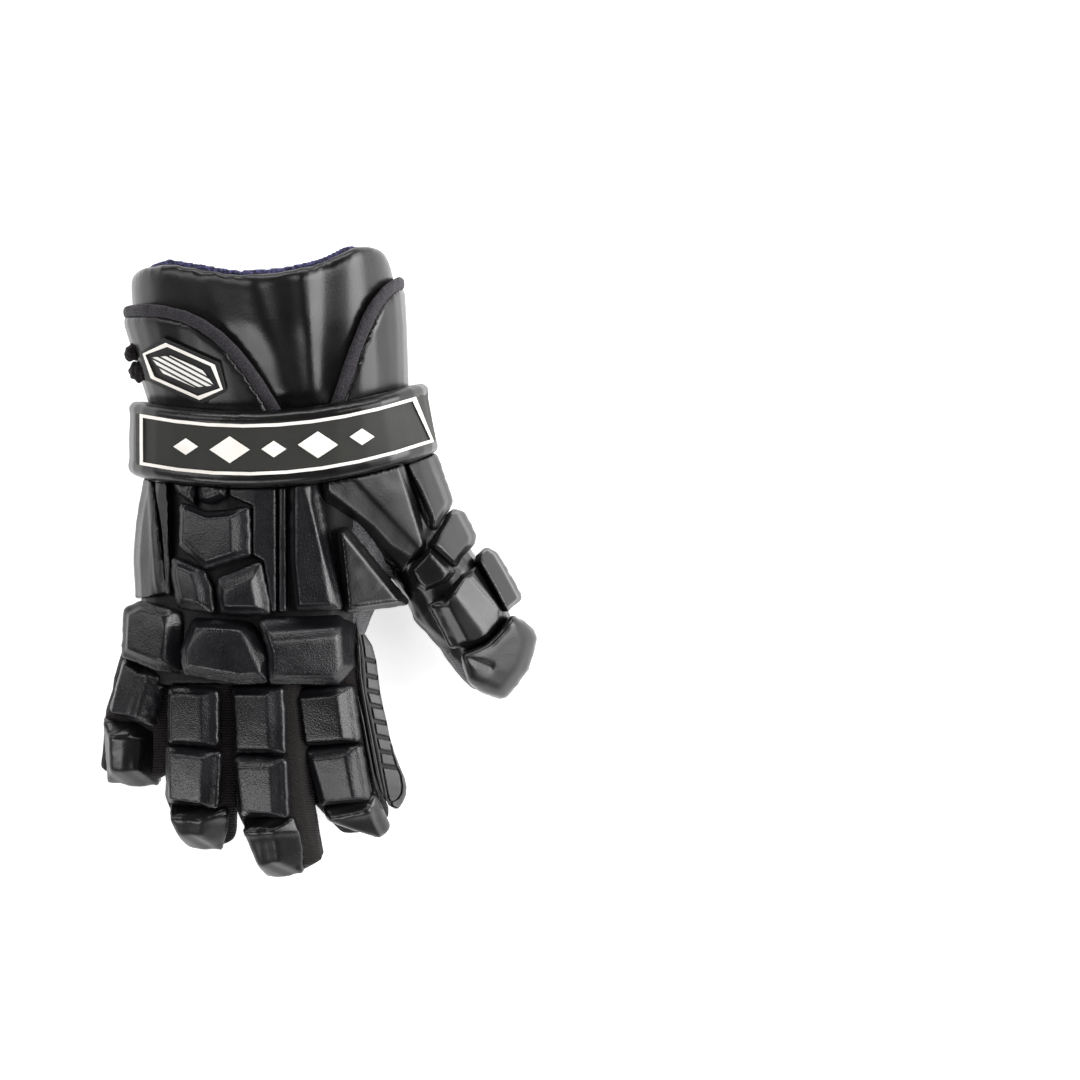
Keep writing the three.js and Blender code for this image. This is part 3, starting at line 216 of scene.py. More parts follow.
def ease(values: np.ndarray, low: float, high: float) -> np.ndarray:
    """Rises smoothly from 0 at low to 1 at high."""
    share = np.clip((values - low) / (high - low), 0, 1)
    return share * share * (3 - 2 * share)


def unevenness(points: np.ndarray, cell: Sequence[float] | float, seed: int) -> np.ndarray:
    """Smooth random unevenness in space.

    Args:
        points: Where it is wanted.
        cell: The size of its lumps, one for all or one for each direction.
        seed: Picks the pattern.

    Returns:
        A value from -1 to 1 for each point.
    """
    count = 32
    table = np.random.default_rng(seed).uniform(-1, 1, (count, count, count))
    scaled = points / np.array(cell)
    base = np.floor(scaled).astype(int)
    part = ease(scaled - base, 0, 1)
    total = np.zeros(len(points))
    for corner in itertools.product((0, 1), repeat=3):
        weight = np.prod(np.where(np.array(corner) == 1, part, 1 - part), axis=1)
        at = (base + np.array(corner)) % count
        total += weight * table[at[:, 0], at[:, 1], at[:, 2]]
    return total


def remesh(piece: bpy.types.Object, voxel: float) -> None:
    """Gives an object an even mesh with faces of the voxel's size."""
    apply_modifier(piece, "REMESH", mode="VOXEL", voxel_size=voxel, adaptivity=0)


def relax(piece: bpy.types.Object, passes: int) -> None:
    """Rounds an object's edges by moving its points towards their neighbours' middle."""
    if passes:
        apply_modifier(piece, "SMOOTH", factor=0.5, iterations=passes)


def refit(piece: bpy.types.Object, box: tuple[np.ndarray, np.ndarray]) -> None:
    """Stretches an object back into a box.

    Args:
        piece: The object.
        box: The lowest and the highest corner.
    """
    points = points_of(piece)
    low, high = points.min(axis=0), points.max(axis=0)
    set_points(piece, box[0] + (points - low) / (high - low) * (box[1] - box[0]))


def smooth_shading(piece: bpy.types.Object, angle: float = SOFT_ANGLE) -> None:
    """Shades an object smoothly, with sharp edges past an angle."""
    activate(piece)
    bpy.ops.object.shade_smooth_by_angle(angle=angle)


# Finishes


class Board:
    """The node tree of a material or of a shader group."""

    def __init__(self, tree: bpy.types.NodeTree) -> None:
        """Starts with an empty tree."""
        self.tree = tree
        tree.nodes.clear()

    def add(self, kind: str, inputs: dict | None = None, **settings: object) -> bpy.types.Node:
        """Adds a node.

        Args:
            kind: The node's type.
            inputs: Values or sockets for its inputs, by name or number.
            **settings: The node's settings.

        Returns:
            The node.
        """
        node = self.tree.nodes.new(kind)
        for name, value in settings.items():
            setattr(node, name, value)
        for key, value in (inputs or {}).items():
            if isinstance(value, bpy.types.NodeSocket):
                self.tree.links.new(value, node.inputs[key])
            else:
                node.inputs[key].default_value = value
        return node

    def math(self, operation: str, *values: object) -> bpy.types.NodeSocket:
        """Adds a Math node on numbers or sockets and gives its result."""
        return self.add("ShaderNodeMath", dict(enumerate(values)), operation=operation).outputs[0]

    def place(self) -> bpy.types.NodeSocket:
        """Gives the Object coordinates."""
        return self.add("ShaderNodeTexCoord").outputs["Object"]

    def noise(self, place: bpy.types.NodeSocket, size: float, detail: float = 2) -> bpy.types.NodeSocket:
        """Adds a Noise texture with lumps of a size and gives its value."""
        inputs = {"Vector": place, "Scale": 1 / size, "Detail": detail}
        return self.add("ShaderNodeTexNoise", inputs).outputs["Fac"]

    def span(self, value: bpy.types.NodeSocket, ins: tuple, outs: tuple) -> bpy.types.NodeSocket:
        """Maps the range ins of a value onto the range outs."""
        inputs = {0: value, 1: ins[0], 2: ins[1], 3: outs[0], 4: outs[1]}
        return self.add("ShaderNodeMapRange", inputs).outputs[0]

    def blend(self, share: bpy.types.NodeSocket, first: tuple, second: tuple) -> bpy.types.NodeSocket:
        """Mixes two colours.

        Args:
            share: How much of the second colour.
            first: The first colour.
            second: The second colour.

        Returns:
            The mixed colour.
        """
        node = self.add("ShaderNodeMix", {0: share}, data_type="RGBA")
        for key, colour in ((6, first), (7, second)):
            if isinstance(colour, bpy.types.NodeSocket):
                self.tree.links.new(colour, node.inputs[key])
            else:
                node.inputs[key].default_value = (*colour, 1)
        return node.outputs[2]


def shader_group(name: str, inputs: dict[str, float], outputs: Sequence[str],
                 fill: Callable[[Board, dict, dict], None]) -> bpy.types.NodeTree:
    """Makes a shader node group once.

    Args:
        name: The group's name.
        inputs: Its inputs with their values.
        outputs: Its outputs.
        fill: Adds its nodes, given the board, its input sockets and its output sockets.

    Returns:
        The group.
    """
    if name in bpy.data.node_groups:
        return bpy.data.node_groups[name]
    tree = bpy.data.node_groups.new(name, "ShaderNodeTree")
    for label, value in inputs.items():
        socket = tree.interface.new_socket(name=label, in_out="INPUT", socket_type="NodeSocketFloat")
        socket.default_value = value
    for label in outputs:
        tree.interface.new_socket(name=label, in_out="OUTPUT", socket_type="NodeSocketFloat")
    board = Board(tree)
    source = board.add("NodeGroupInput")
    sink = board.add("NodeGroupOutput")
    given = {label: source.outputs[label] for label in inputs}
    wanted = {label: sink.inputs[label] for label in outputs}
    fill(board, given, wanted)
    return tree


CREASE_SHARE = 0.6
MOTTLE_SIZE = 22.2 * MM


def pebble_group() -> bpy.types.NodeTree:
    """Makes the fine pebble grain of coated leather.

    Returns:
        A group with the grain's height and a slow mottling.
    """

    def fill(board: Board, given: dict, wanted: dict) -> None:
        """Adds the group's nodes.

        Args:
            board: The group's board.
            given: Its input sockets.
            wanted: Its output sockets.
        """
        place = board.place()
        scale = board.math("DIVIDE", 1, given["Pebble"])
        cells = board.add("ShaderNodeTexVoronoi", {"Vector": place, "Scale": scale}, feature="SMOOTH_F1")
        wider = board.math("MULTIPLY", scale, CREASE_SHARE)
        creases = board.add("ShaderNodeTexNoise", {"Vector": place, "Scale": wider})
        shallow = board.math("MULTIPLY", creases.outputs["Fac"], CREASE_SHARE)
        board.tree.links.new(board.math("ADD", cells.outputs["Distance"], shallow), wanted["Height"])
        board.tree.links.new(board.noise(place, MOTTLE_SIZE, detail=3), wanted["Mottle"])

    return shader_group("pebble_grain", {"Pebble": 0.9 * MM}, ("Height", "Mottle"), fill)


def rib_group() -> bpy.types.NodeTree:
    """Makes the ribs and threads of knitted cloth.

    Returns:
        A group with the knit's height and a thread mask.
    """

    def fill(board: Board, given: dict, wanted: dict) -> None:
        """Adds the group's nodes.

        Args:
            board: The group's board.
            given: Its input sockets.
            wanted: Its output sockets.
        """
        place = board.place()
        axes = board.add("ShaderNodeSeparateXYZ", {"Vector": place})
        across = board.math("DIVIDE", axes.outputs["Y"], given["Rib"])
        ribs = board.math("SINE", board.math("MULTIPLY", across, 2 * math.pi))
        thread = board.math("DIVIDE", 1, given["Thread"])
        cells = board.add("ShaderNodeTexVoronoi", {"Vector": place, "Scale": thread})
        height = board.math("ADD", board.math("MULTIPLY", ribs, 0.5), cells.outputs["Distance"])
        board.tree.links.new(height, wanted["Height"])
        board.tree.links.new(cells.outputs["Distance"], wanted["Thread"])

    return shader_group("knit_ribs", {"Rib": 1.6 * MM, "Thread": 0.5 * MM}, ("Height", "Thread"), fill)


@dataclass(frozen=True)
class Finish:
    """A procedural material with a principled shader; each kind adds its own pattern."""

    look: Look
    dark: Colour
    light: Colour
    roughness: tuple[float, float]
    relief: float
    sheen: float = 0.0
    # glow: the finish emits its own colour, a painted brightness; only the print and the stripes use it
    glow: float = 0.0
    shine: float = 0.5

    def surface(self, board: Board) -> tuple[bpy.types.NodeSocket, bpy.types.NodeSocket]:
        """Adds the pattern and gives its height and its share of the light colour."""
        raise NotImplementedError

    def material(self) -> bpy.types.Material:
        """Builds the material once.

        Returns:
            The material.
        """
        name = f"{self.look.value[0]}_finish"
        if name in bpy.data.materials:
            return bpy.data.materials[name]
        made = bpy.data.materials.new(name)
        made.use_nodes = True
        board = Board(made.node_tree)
        height, share = self.surface(board)
        bump = board.add("ShaderNodeBump", {"Height": height, "Strength": 1.0, "Distance": self.relief})
        colour = board.blend(share, self.dark, self.light)
        shader = board.add("ShaderNodeBsdfPrincipled", {
            "Base Color": colour,
            "Roughness": board.span(share, (0, 1), self.roughness),
            "Normal": bump.outputs["Normal"],
            "Specular IOR Level": self.shine,
            "Sheen Weight": self.sheen,
            "Sheen Roughness": 0.5,
            # Emission of the finish's own colour: painted brightness wherever glow is set.
            "Emission Color": colour,
            "Emission Strength": self.glow,
        })
        board.add("ShaderNodeOutputMaterial", {"Surface": shader.outputs["BSDF"]})
        return made


@dataclass(frozen=True)
class Leather(Finish):
    """Coated leather with a pebble grain."""

    pebble: float = 0.9 * MM

    def surface(self, board: Board) -> tuple[bpy.types.NodeSocket, bpy.types.NodeSocket]:
        """Adds the pebble grain."""
        group = board.add("ShaderNodeGroup", {"Pebble": self.pebble}, node_tree=pebble_group())
        return group.outputs["Height"], board.span(group.outputs["Mottle"], (0.3, 0.7), (0, 1))


@dataclass(frozen=True)
class Knit(Finish):
    """Knitted or woven cloth with ribs and threads."""

    rib: float = 1.6 * MM
    thread: float = 0.5 * MM

    def surface(self, board: Board) -> tuple[bpy.types.NodeSocket, bpy.types.NodeSocket]:
        """Adds the ribs and threads."""
        group = board.add("ShaderNodeGroup", {"Rib": self.rib, "Thread": self.thread}, node_tree=rib_group())
        return group.outputs["Height"], board.span(group.outputs["Thread"], (0.1, 0.7), (1, 0))


@dataclass(frozen=True)
class Striped(Finish):
    """Printed stripes across a slant."""

    pitch: float = 2.4 * MM
    slant: float = math.radians(62)
    share: float = 0.62

    def surface(self, board: Board) -> tuple[bpy.types.NodeSocket, bpy.types.NodeSocket]:
        """Adds the stripes.

        Args:
            board: The material's board.

        Returns:
            Their height, and their share of the light colour.
        """
        axes = board.add("ShaderNodeSeparateXYZ", {"Vector": board.place()})
        across = board.math("MULTIPLY", axes.outputs["X"], math.cos(self.slant) / self.pitch)
        along = board.math("MULTIPLY", axes.outputs["Y"], math.sin(self.slant) / self.pitch)
        phase = board.math("FRACT", board.math("ADD", across, along))
        mask = board.math("LESS_THAN", phase, self.share)
        return mask, mask


FINISHES = {
    finish.look: finish for finish in (
        Leather(Look.GRAINED, (0.004, 0.004, 0.005), (0.008, 0.008, 0.01), (0.26, 0.34), 0.12 * MM,
                pebble=0.65 * MM),
        Leather(Look.SMOOTH, (0.004, 0.0035, 0.0035), (0.007, 0.0065, 0.0065), (0.26, 0.32), 0.03 * MM),
        Leather(Look.PALM, (0.016, 0.015, 0.015), (0.03, 0.028, 0.027), (0.6, 0.75), 0.08 * MM,
                pebble=0.6 * MM),
        # The bed under the pads is near-black with weak specular, darker than the stretch cloth it stands
        # for: partly the cloth's own dark colour, partly painted shade in the gaps between the pads.
        Leather(Look.BED, (0.003, 0.003, 0.003), (0.005, 0.005, 0.005), (0.4, 0.5), 0.05 * MM,
                shine=0.25),
        Knit(Look.STRETCH, (0.004, 0.0025, 0.0025), (0.017, 0.011, 0.011), (0.75, 0.9), 0.3 * MM,
             sheen=0.05, shine=0.3, rib=1.36 * MM),
        Knit(Look.MESH, (0.035, 0.035, 0.038), (0.15, 0.145, 0.155), (0.8, 0.95), 0.2 * MM,
             sheen=0.3, rib=0.9 * MM, thread=0.8 * MM),
        Knit(Look.NEOPRENE, (0.004, 0.003, 0.005), (0.05, 0.04, 0.054), (0.8, 0.95), 0.2 * MM,
             sheen=0.08, rib=0.9 * MM, thread=0.8 * MM),
        Knit(Look.LINING, (0.006, 0.006, 0.035), (0.13, 0.12, 0.3), (0.6, 0.8), 0.15 * MM,
             rib=0.8 * MM, thread=1.7 * MM),
        Leather(Look.RUBBER, (0.05, 0.05, 0.05), (0.075, 0.075, 0.075), (0.45, 0.6), 0.03 * MM,
                pebble=0.5 * MM),
        Leather(Look.LABEL, (0.012, 0.012, 0.01), (0.018, 0.018, 0.015), (0.6, 0.7), 0.06 * MM,
                pebble=0.5 * MM),
        # Near-black: the badge plate's own colour, and painted shade in the grip strip's grooves and under
        # its edge.
        Leather(Look.GROOVE, (0.003, 0.003, 0.003), (0.006, 0.006, 0.006), (0.6, 0.7), 0.03 * MM,
                pebble=0.5 * MM),
        # The print and the stripes glow a little with their own colour: painted brightness, as they are no
        # lamps.
        Leather(Look.PRINT, (0.72, 0.68, 0.63), (0.86, 0.83, 0.79), (0.35, 0.5), 0.05 * MM,
                glow=0.22, pebble=1.5 * MM),
        Striped(Look.STRIPED, (0.01, 0.01, 0.01), (0.8, 0.78, 0.75), (0.4, 0.5), 0.2 * MM, glow=0.15),
    )
}


def dress(piece: bpy.types.Object, looks: Sequence[Look], nodes: Sequence[str] = ()) -> bpy.types.Object:
    """Gives a piece its finish and its place in the frame.

    Args:
        piece: The piece.
        looks: Its looks, the main one first.
        nodes: The frame nodes that it stands for.

    Returns:
        The piece.
    """
    piece.data.materials.clear()
    for look in looks:
        piece.data.materials.append(FINISHES[look].material())
    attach(piece, ROOT)
    if nodes:
        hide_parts(*nodes)
    return piece


# Pads


LOOKS_UP = 0.3


@dataclass
class Facet:
    """A pad's flat top: its middle, the way it faces and its reach."""

    middle: np.ndarray
    normal: np.ndarray
    reach: float

    @classmethod
    def top_of(cls, piece: bpy.types.Object) -> "Facet":
        """Finds the largest face that looks up.

        Args:
            piece: The pad.

        Returns:
            Its top.
        """
        faces = [face for face in piece.data.polygons if face.normal.z > LOOKS_UP]
        face = max(faces, key=lambda found: found.area)
        return cls(np.array(face.center), np.array(face.normal), math.sqrt(face.area) / 2)

    def depth(self, points: np.ndarray) -> np.ndarray:
        """Gives how far below the top's plane each point lies."""
        return (self.middle - points) @ self.normal

    def away(self, points: np.ndarray) -> np.ndarray:
        """Gives how far from the top's axis each point lies."""
        off = points - self.middle
        return np.linalg.norm(off - np.outer(off @ self.normal, self.normal), axis=1)


@dataclass(frozen=True)
class Line:
    """A straight line across the back, in the photograph's frame."""

    start: Pixel
    end: Pixel

    def measure(self, points: np.ndarray) -> tuple[np.ndarray, np.ndarray]:
        """Places points beside the line.

        Args:
            points: The points.

        Returns:
            How far each lies to the line's right, and its share of the line's length.
        """
        start, end = np.array(spot(*self.start)), np.array(spot(*self.end))
        length = np.linalg.norm(end - start)
        along = (end - start) / length
        off = points[:, :2] - start
        return off[:, 0] * along[1] - off[:, 1] * along[0], off @ along / length


@dataclass(frozen=True)
class Fold(Line):
    """A ridge in a pad's top, which falls away on the right of the line."""

    slope: float = 0.4
    softness: float = 1.1 * MM

    def drop(self, points: np.ndarray) -> np.ndarray:
        """Gives how far each point sinks."""
        off, _ = self.measure(points)
        return 0.5 * self.slope * (off + np.hypot(off, self.softness))


@dataclass(frozen=True)
class Flute(Line):
    """A soft ridge, or a crease where its height is negative."""

    height: float = 1.5 * MM
    spread: float = 2 * MM
    run_in: tuple[float, float] = (-0.06, 0.1)
    run_out: tuple[float, float] = (0.9, 1.06)

    def lift(self, points: np.ndarray) -> np.ndarray:
        """Gives how far each point rises.

        Args:
            points: The points.

        Returns:
            Its rise along the surface's normal.
        """
        off, share = self.measure(points)
        ends = ease(share, *self.run_in) * (1 - ease(share, *self.run_out))
        return self.height * ends * np.exp(-((off / self.spread) ** 2))


@dataclass(frozen=True)
class Pull:
    """A place where a piece is drawn sideways."""

    middle: Pixel
    reach: float
    move: tuple[float, float, float]

    def shift(self, points: np.ndarray) -> np.ndarray:
        """Gives how far each point moves."""
        off = np.linalg.norm(points[:, :2] - np.array(spot(*self.middle)), axis=1)
        return np.outer(np.exp(-((off / self.reach) ** 2)), self.move)


MOULD = {
    "knuckle_pad_little": (
        Fold((159, 672), (173, 604), 0.75),
    ),
    "knuckle_pad_middle": (
        Fold((205, 628), (190, 643), 0.7),
        Fold((242, 631), (205, 628), 0.5),
        Fold((268, 655), (242, 631), 0.7),
        Fold((268, 681), (268, 655), 0.7),
    ),
    "knuckle_pad_index": (
        Fold((338, 636), (270, 641), 0.6),
        Fold((342, 680), (338, 636), 0.7),
    ),
    "thumb_base_pad": (
        Fold((361, 485), (423, 551), 0.55),
        Fold((427, 545), (403, 466), 1.2),
        Flute((343, 520), (400, 569), -1.2 * MM, 1.2 * MM),
    ),
    "thumb_crotch_pad": (
        Fold((402, 597), (349, 533), 0.8),
        Flute((357, 606), (405, 599), 0.5 * MM, 1 * MM),
    ),
    "wedge_pad": (
        Fold((338, 606), (306, 486), 0.5),
        Flute((306, 486), (338, 606), 0.5 * MM, 1.3 * MM),
    ),
    "thumb_long_pad": (
        Fold((486, 635), (458, 597), 0.5),
        Flute((434, 604), (450, 603), -0.9 * MM, 0.9 * MM),
        Flute((470, 574), (502, 610), 0.5 * MM, 1 * MM),
    ),
    "thumb_middle_pad": (
        Fold((447, 578), (437, 560), 0.5),
    ),
    "thumb_outer_pad_1": (
        Fold((436, 515), (420, 462), 0.5),
    ),
    "thumb_outer_pad_2": (
        Fold((450, 560), (440, 535), 0.5),
    ),
    "thumb_outer_pad_3": (
        Fold((505, 605), (478, 556), 0.45),
    ),
    "thumb_tip_cap": (
        Flute((462, 655), (494, 668), -0.7 * MM, 1.8 * MM),
    ),
    "side_flute_outer": (
        Pull((126, 604), 22 * MM, (4.2 * MM, 0, 0)),
        Flute((152, 478), (160, 590), 1.3 * MM, 1.8 * MM),
        Flute((160, 478), (166, 590), -0.8 * MM, 1.2 * MM),
    ),
    "ring_pad_3": (
        Pull((226, 822), 13 * MM, (4.5 * MM, 0, -1 * MM)),
        Flute((160, 814), (232, 814), 1.1 * MM, 3 * MM),
    ),
    "middle_pad_3": (
        Pull((306, 845), 14 * MM, (4 * MM, 0, -1 * MM)),
        Flute((236, 831), (312, 828), 1.1 * MM, 3 * MM),
    ),
    "index_pad_3": (
        Pull((324, 812), 10 * MM, (-1 * MM, 1 * MM, 0)),
        Flute((318, 814), (386, 808), 1.0 * MM, 3 * MM),
    ),
    "little_pad_1": (
        Flute((151, 668), (136, 718), 1.3 * MM, 2.2 * MM),
    ),
    "little_pad_2": (
        Fold((136, 790), (132, 735), 0.5),
    ),
    "index_pad_1": (
        Fold((344, 735), (337, 686), 0.4),
    ),
    "index_pad_2": (
        Fold((357, 796), (352, 745), 0.4),
    ),
    "cuff_back_panel": (
        Flute((252, 270), (289, 400), 1.5 * MM, 6.5 * MM),
        Flute((303, 270), (315, 400), 1.2 * MM, 4.0 * MM),
        Flute((330, 250), (325, 400), -1.6 * MM, 7 * MM),
        Flute((205, 262), (245, 380), -1.0 * MM, 9 * MM),
    ),
}


UPWARD = (0.1, 0.7)


def moulded(points: np.ndarray, normals: np.ndarray, node: str) -> np.ndarray:
    """Adds a piece's folds and pulls, and its flutes where it looks up.

    Args:
        points: Its points.
        normals: Its normals.
        node: The frame node that it stands for.

    Returns:
        The moved points.
    """
    facing = ease(normals[:, 2], *UPWARD)
    for feature in MOULD.get(node, ()):
        if isinstance(feature, Fold):
            points[:, 2] -= feature.drop(points)
        elif isinstance(feature, Pull):
            points = points + feature.shift(points)
        else:
            points = points + normals * (facing * feature.lift(points))[:, None]
    return points


@dataclass(frozen=True)
class Padding:
    """How a faceted pad becomes foam under leather."""

    voxel: float = 0.8 * MM
    passes: int = 3
    corner: float = 3.6 * MM
    corner_steps: int = 4
    upright: float = 0.8
    crown: float = 0.5 * MM
    crown_reach: float = 1.5
    swell: float = 1.2 * MM
    pucker: float = 0.35 * MM
    crease: tuple[float, float, float] = (2.6 * MM, 2.6 * MM, 9 * MM)
    unevenness: float = 0.12 * MM
    lump: float = 7 * MM
    level: tuple[float, float] = (-1 * MM, 4 * MM)
    side: tuple[float, float] = (2 * MM, 6 * MM)
    foot: tuple[float, float] = (8 * MM, 13 * MM)
    fill: float = 0.85
    look: Look = Look.GRAINED

    def round_corners(self, piece: bpy.types.Object, facet: Facet) -> None:
        """Bevels the upright corner edges.

        Args:
            piece: The pad.
            facet: Its top.
        """
        mesh = piece.data
        axis = Vector(facet.normal)
        with editing(piece, "EDGE"):
            bpy.ops.mesh.select_all(action="DESELECT")
        for edge in mesh.edges:
            ends = [mesh.vertices[i].co for i in edge.vertices]
            along = ends[1] - ends[0]
            edge.select = along.length > self.corner and abs(along.normalized().dot(axis)) > self.upright
        with editing(piece, "EDGE"):
            bpy.ops.mesh.bevel(offset=self.corner, segments=self.corner_steps, affect="EDGES",
                               clamp_overlap=True)

    def shape(self, piece: bpy.types.Object, facet: Facet, node: str, seed: int) -> None:
        """Crowns the top, fills the sides, puckers the leather at the foot and folds the top.

        Args:
            piece: The pad.
            facet: Its top.
            node: Its frame node.
            seed: Picks the pattern of its unevenness.
        """
        points, normals = points_of(piece), normals_of(piece)
        depth = facet.depth(points)
        level, side, foot = 1 - ease(depth, *self.level), ease(depth, *self.side), ease(depth, *self.foot)
        rim = (facet.away(points) / (self.crown_reach * facet.reach)) ** 2
        crown = self.crown * level * np.clip(1 - rim, 0, 1)
        lift = self.swell * side * (1 - foot)
        lift += self.pucker * side * unevenness(points, self.crease, seed)
        lift += self.unevenness * unevenness(points, self.lump, seed + 1)
        points = points + normals * lift[:, None] + np.outer(crown, facet.normal)
        set_points(piece, moulded(points, normals, node))

    def stuff(self, node: str, seed: int) -> bpy.types.Object:
        """Makes a stuffed pad from a frame node.

        Args:
            node: The frame node.
            seed: Picks the pattern of its unevenness.

        Returns:
            The pad.
        """
        piece = node_copy(node, f"{node}_leather")
        facet = Facet.top_of(piece)
        self.round_corners(piece, facet)
        remesh(piece, self.voxel)
        points = points_of(piece)
        relax(piece, self.passes)
        refit(piece, (points.min(axis=0), points.max(axis=0)))
        self.shape(piece, facet, node, seed)
        smooth_shading(piece)
        dress(piece, [self.look], [node])
        return piece


@dataclass
class Pads:
    """The leather pads on the back, the fingers and the thumb."""

    back: Padding = Padding()
    thumb: Padding = Padding(look=Look.SMOOTH, passes=4)
    tips: Padding = Padding(look=Look.SMOOTH, passes=16, corner=5 * MM, pucker=0.1 * MM)
    cap: Padding = Padding(look=Look.SMOOTH, passes=120, crown=0, swell=0)
    strips: Padding = Padding(crown=0, pucker=0.1 * MM, passes=4, swell=0.7 * MM)
    tip_nodes: tuple[str, ...] = ("little_pad_2", "ring_pad_3", "middle_pad_3", "index_pad_3")
    strip_nodes: tuple[str, ...] = (
        "side_flute_outer", "side_flute_inner", "back_strip_long", "back_strip_narrow",
    )
    seed: int = 11

    def style_of(self, node: str) -> Padding | None:
        """Picks a pad's padding.

        Args:
            node: A frame node.

        Returns:
            Its padding, or None where it is no pad.
        """
        if node in self.strip_nodes:
            return self.strips
        if node in self.tip_nodes:
            return self.tips
        if node == "thumb_tip_cap":
            return self.cap
        if "_pad" in node:
            return self.thumb if node.startswith("thumb") else self.back
        return None

    def build(self) -> list[bpy.types.Object]:
        """Builds every pad.

        Returns:
            The pads.
        """
        made = []
        for step, node in enumerate(sorted(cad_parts)):
            style = self.style_of(node)
            if style:
                made.append(style.stuff(node, self.seed + step))
        return made


# Cloth and leather shells


def heights_over(nodes: Sequence[str], plan: np.ndarray) -> np.ndarray:
    """Drops points onto frame nodes.

    Args:
        nodes: The frame nodes.
        plan: The points' x and y.

    Returns:
        The height of the highest surface under each, or the nearest known one beside it.
    """
    trees = []
    for node in nodes:
        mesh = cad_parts[node].data
        faces = [face.vertices[:] for face in mesh.polygons]
        trees.append(BVHTree.FromPolygons([vertex.co[:] for vertex in mesh.vertices], faces))
    heights = np.full(len(plan), math.nan)
    for step, (x, y) in enumerate(plan):
        hits = [tree.ray_cast(Vector((x, y, 0.3)), Vector((0, 0, -1)))[0] for tree in trees]
        heights[step] = max([hit.z for hit in hits if hit is not None], default=math.nan)
    known = ~np.isnan(heights)
    stops = np.arange(len(plan))
    return np.interp(stops, stops[known], heights[known])


def softened(values: np.ndarray, reach: int) -> np.ndarray:
    """Averages each value with its neighbours within reach."""
    window = np.ones(2 * reach + 1) / (2 * reach + 1)
    return np.convolve(np.pad(values, reach, mode="edge"), window, mode="valid")


@dataclass(frozen=True)
class Cloth:
    """How a frame node's wall becomes soft cloth or leather."""

    voxel: float = 1.2 * MM
    passes: int = 6
    ripple: float = 0.3 * MM
    lump: float = 9 * MM
    grow: float = 0.3 * MM


@dataclass
class Shell:
    """A wall of cloth or leather made even and soft from its frame node."""

    node: str
    look: Look
    seed: int
    cloth: Cloth = Cloth()
    tuck: float = 0
    tuck_line: float = 0
    tuck_reach: float = 3 * MM
    second: Look | None = None
    seam: Line | None = None

    def build(self) -> bpy.types.Object:
        """Builds the shell.

        Returns:
            The shell.
        """
        piece = node_copy(self.node, f"{self.node}_skin")
        remesh(piece, self.cloth.voxel)
        relax(piece, self.cloth.passes)
        points, normals = points_of(piece), normals_of(piece)
        lift = self.cloth.grow + self.cloth.ripple * unevenness(points, self.cloth.lump, self.seed)
        points = moulded(points + normals * lift[:, None], normals, self.node)
        points[:, 1] += self.tuck * ease(points[:, 1], self.tuck_line - self.tuck_reach, self.tuck_line)
        set_points(piece, points)
        smooth_shading(piece)
        dress(piece, [self.look], [self.node])
        if self.seam:
            self.repaint(piece, self.second, self.seam.measure(middles_of(piece))[0] < 0)
        return piece

    def repaint(self, piece: bpy.types.Object, look: Look, chosen: np.ndarray) -> None:
        """Gives the chosen faces a second look."""
        piece.data.materials.append(FINISHES[look].material())
        piece.data.polygons.foreach_set("material_index", chosen.astype(np.int32))


@dataclass
class Lining(Shell):
    """The cuff's lining, which shows along the middle of the rim only."""

    middle: float = -2.5 * MM
    reach: tuple[float, float] = (45 * MM, 62 * MM)
    sink: float = 4 * MM

    def build(self) -> bpy.types.Object:
        """Builds the lining.

        Returns:
            The lining.
        """
        piece = super().build()
        points = points_of(piece)
        points[:, 1] -= self.sink * ease(np.abs(points[:, 0] - self.middle), *self.reach)
        set_points(piece, points)
        return piece


@dataclass
class Band(Shell):
    """The padded wrist band: a roll along each edge and a flat rubber label between them."""

    middle: float = 6.9 * MM
    lowest: float = 37.7 * MM
    slope: float = 0.05
    sag: float = 8.4 * MM
    half: float = 67.5 * MM
    width: float = 39.7 * MM
    roll: float = 1.3 * MM
    roll_places: tuple[float, float] = (0.1, 0.9)
    roll_spread: float = 0.07
    label_ends: tuple[float, float] = (138, 436)
    label_edges: tuple[float, float] = (0.17, 0.83)
    label_floor: float = 20 * MM

    def across(self, points: np.ndarray) -> np.ndarray:
        """Measures points across the band.

        Args:
            points: The points.

        Returns:
            Each one's share of the way from the band's lower edge to its upper one.
        """
        off = points[:, 0] - self.middle
        edge = self.lowest + self.slope * off + self.sag * (off / self.half) ** 2
        return (points[:, 1] - edge) / self.width

    def build(self) -> bpy.types.Object:
        """Builds the band.

        Returns:
            The band.
        """
        piece = super().build()
        points, normals = points_of(piece), normals_of(piece)
        share = self.across(points)
        rolls = sum(np.exp(-(((share - place) / self.roll_spread) ** 2)) for place in self.roll_places)
        set_points(piece, points + normals * (self.roll * rolls)[:, None])
        middles = middles_of(piece)
        share = self.across(middles)
        left, right = (spot(column, 0)[0] for column in self.label_ends)
        low, high = self.label_edges
        inside = (share > low) & (share < high) & (middles[:, 2] > self.label_floor)
        inside &= (middles[:, 0] > left) & (middles[:, 0] < right)
        self.repaint(piece, Look.LABEL, inside)
        return piece


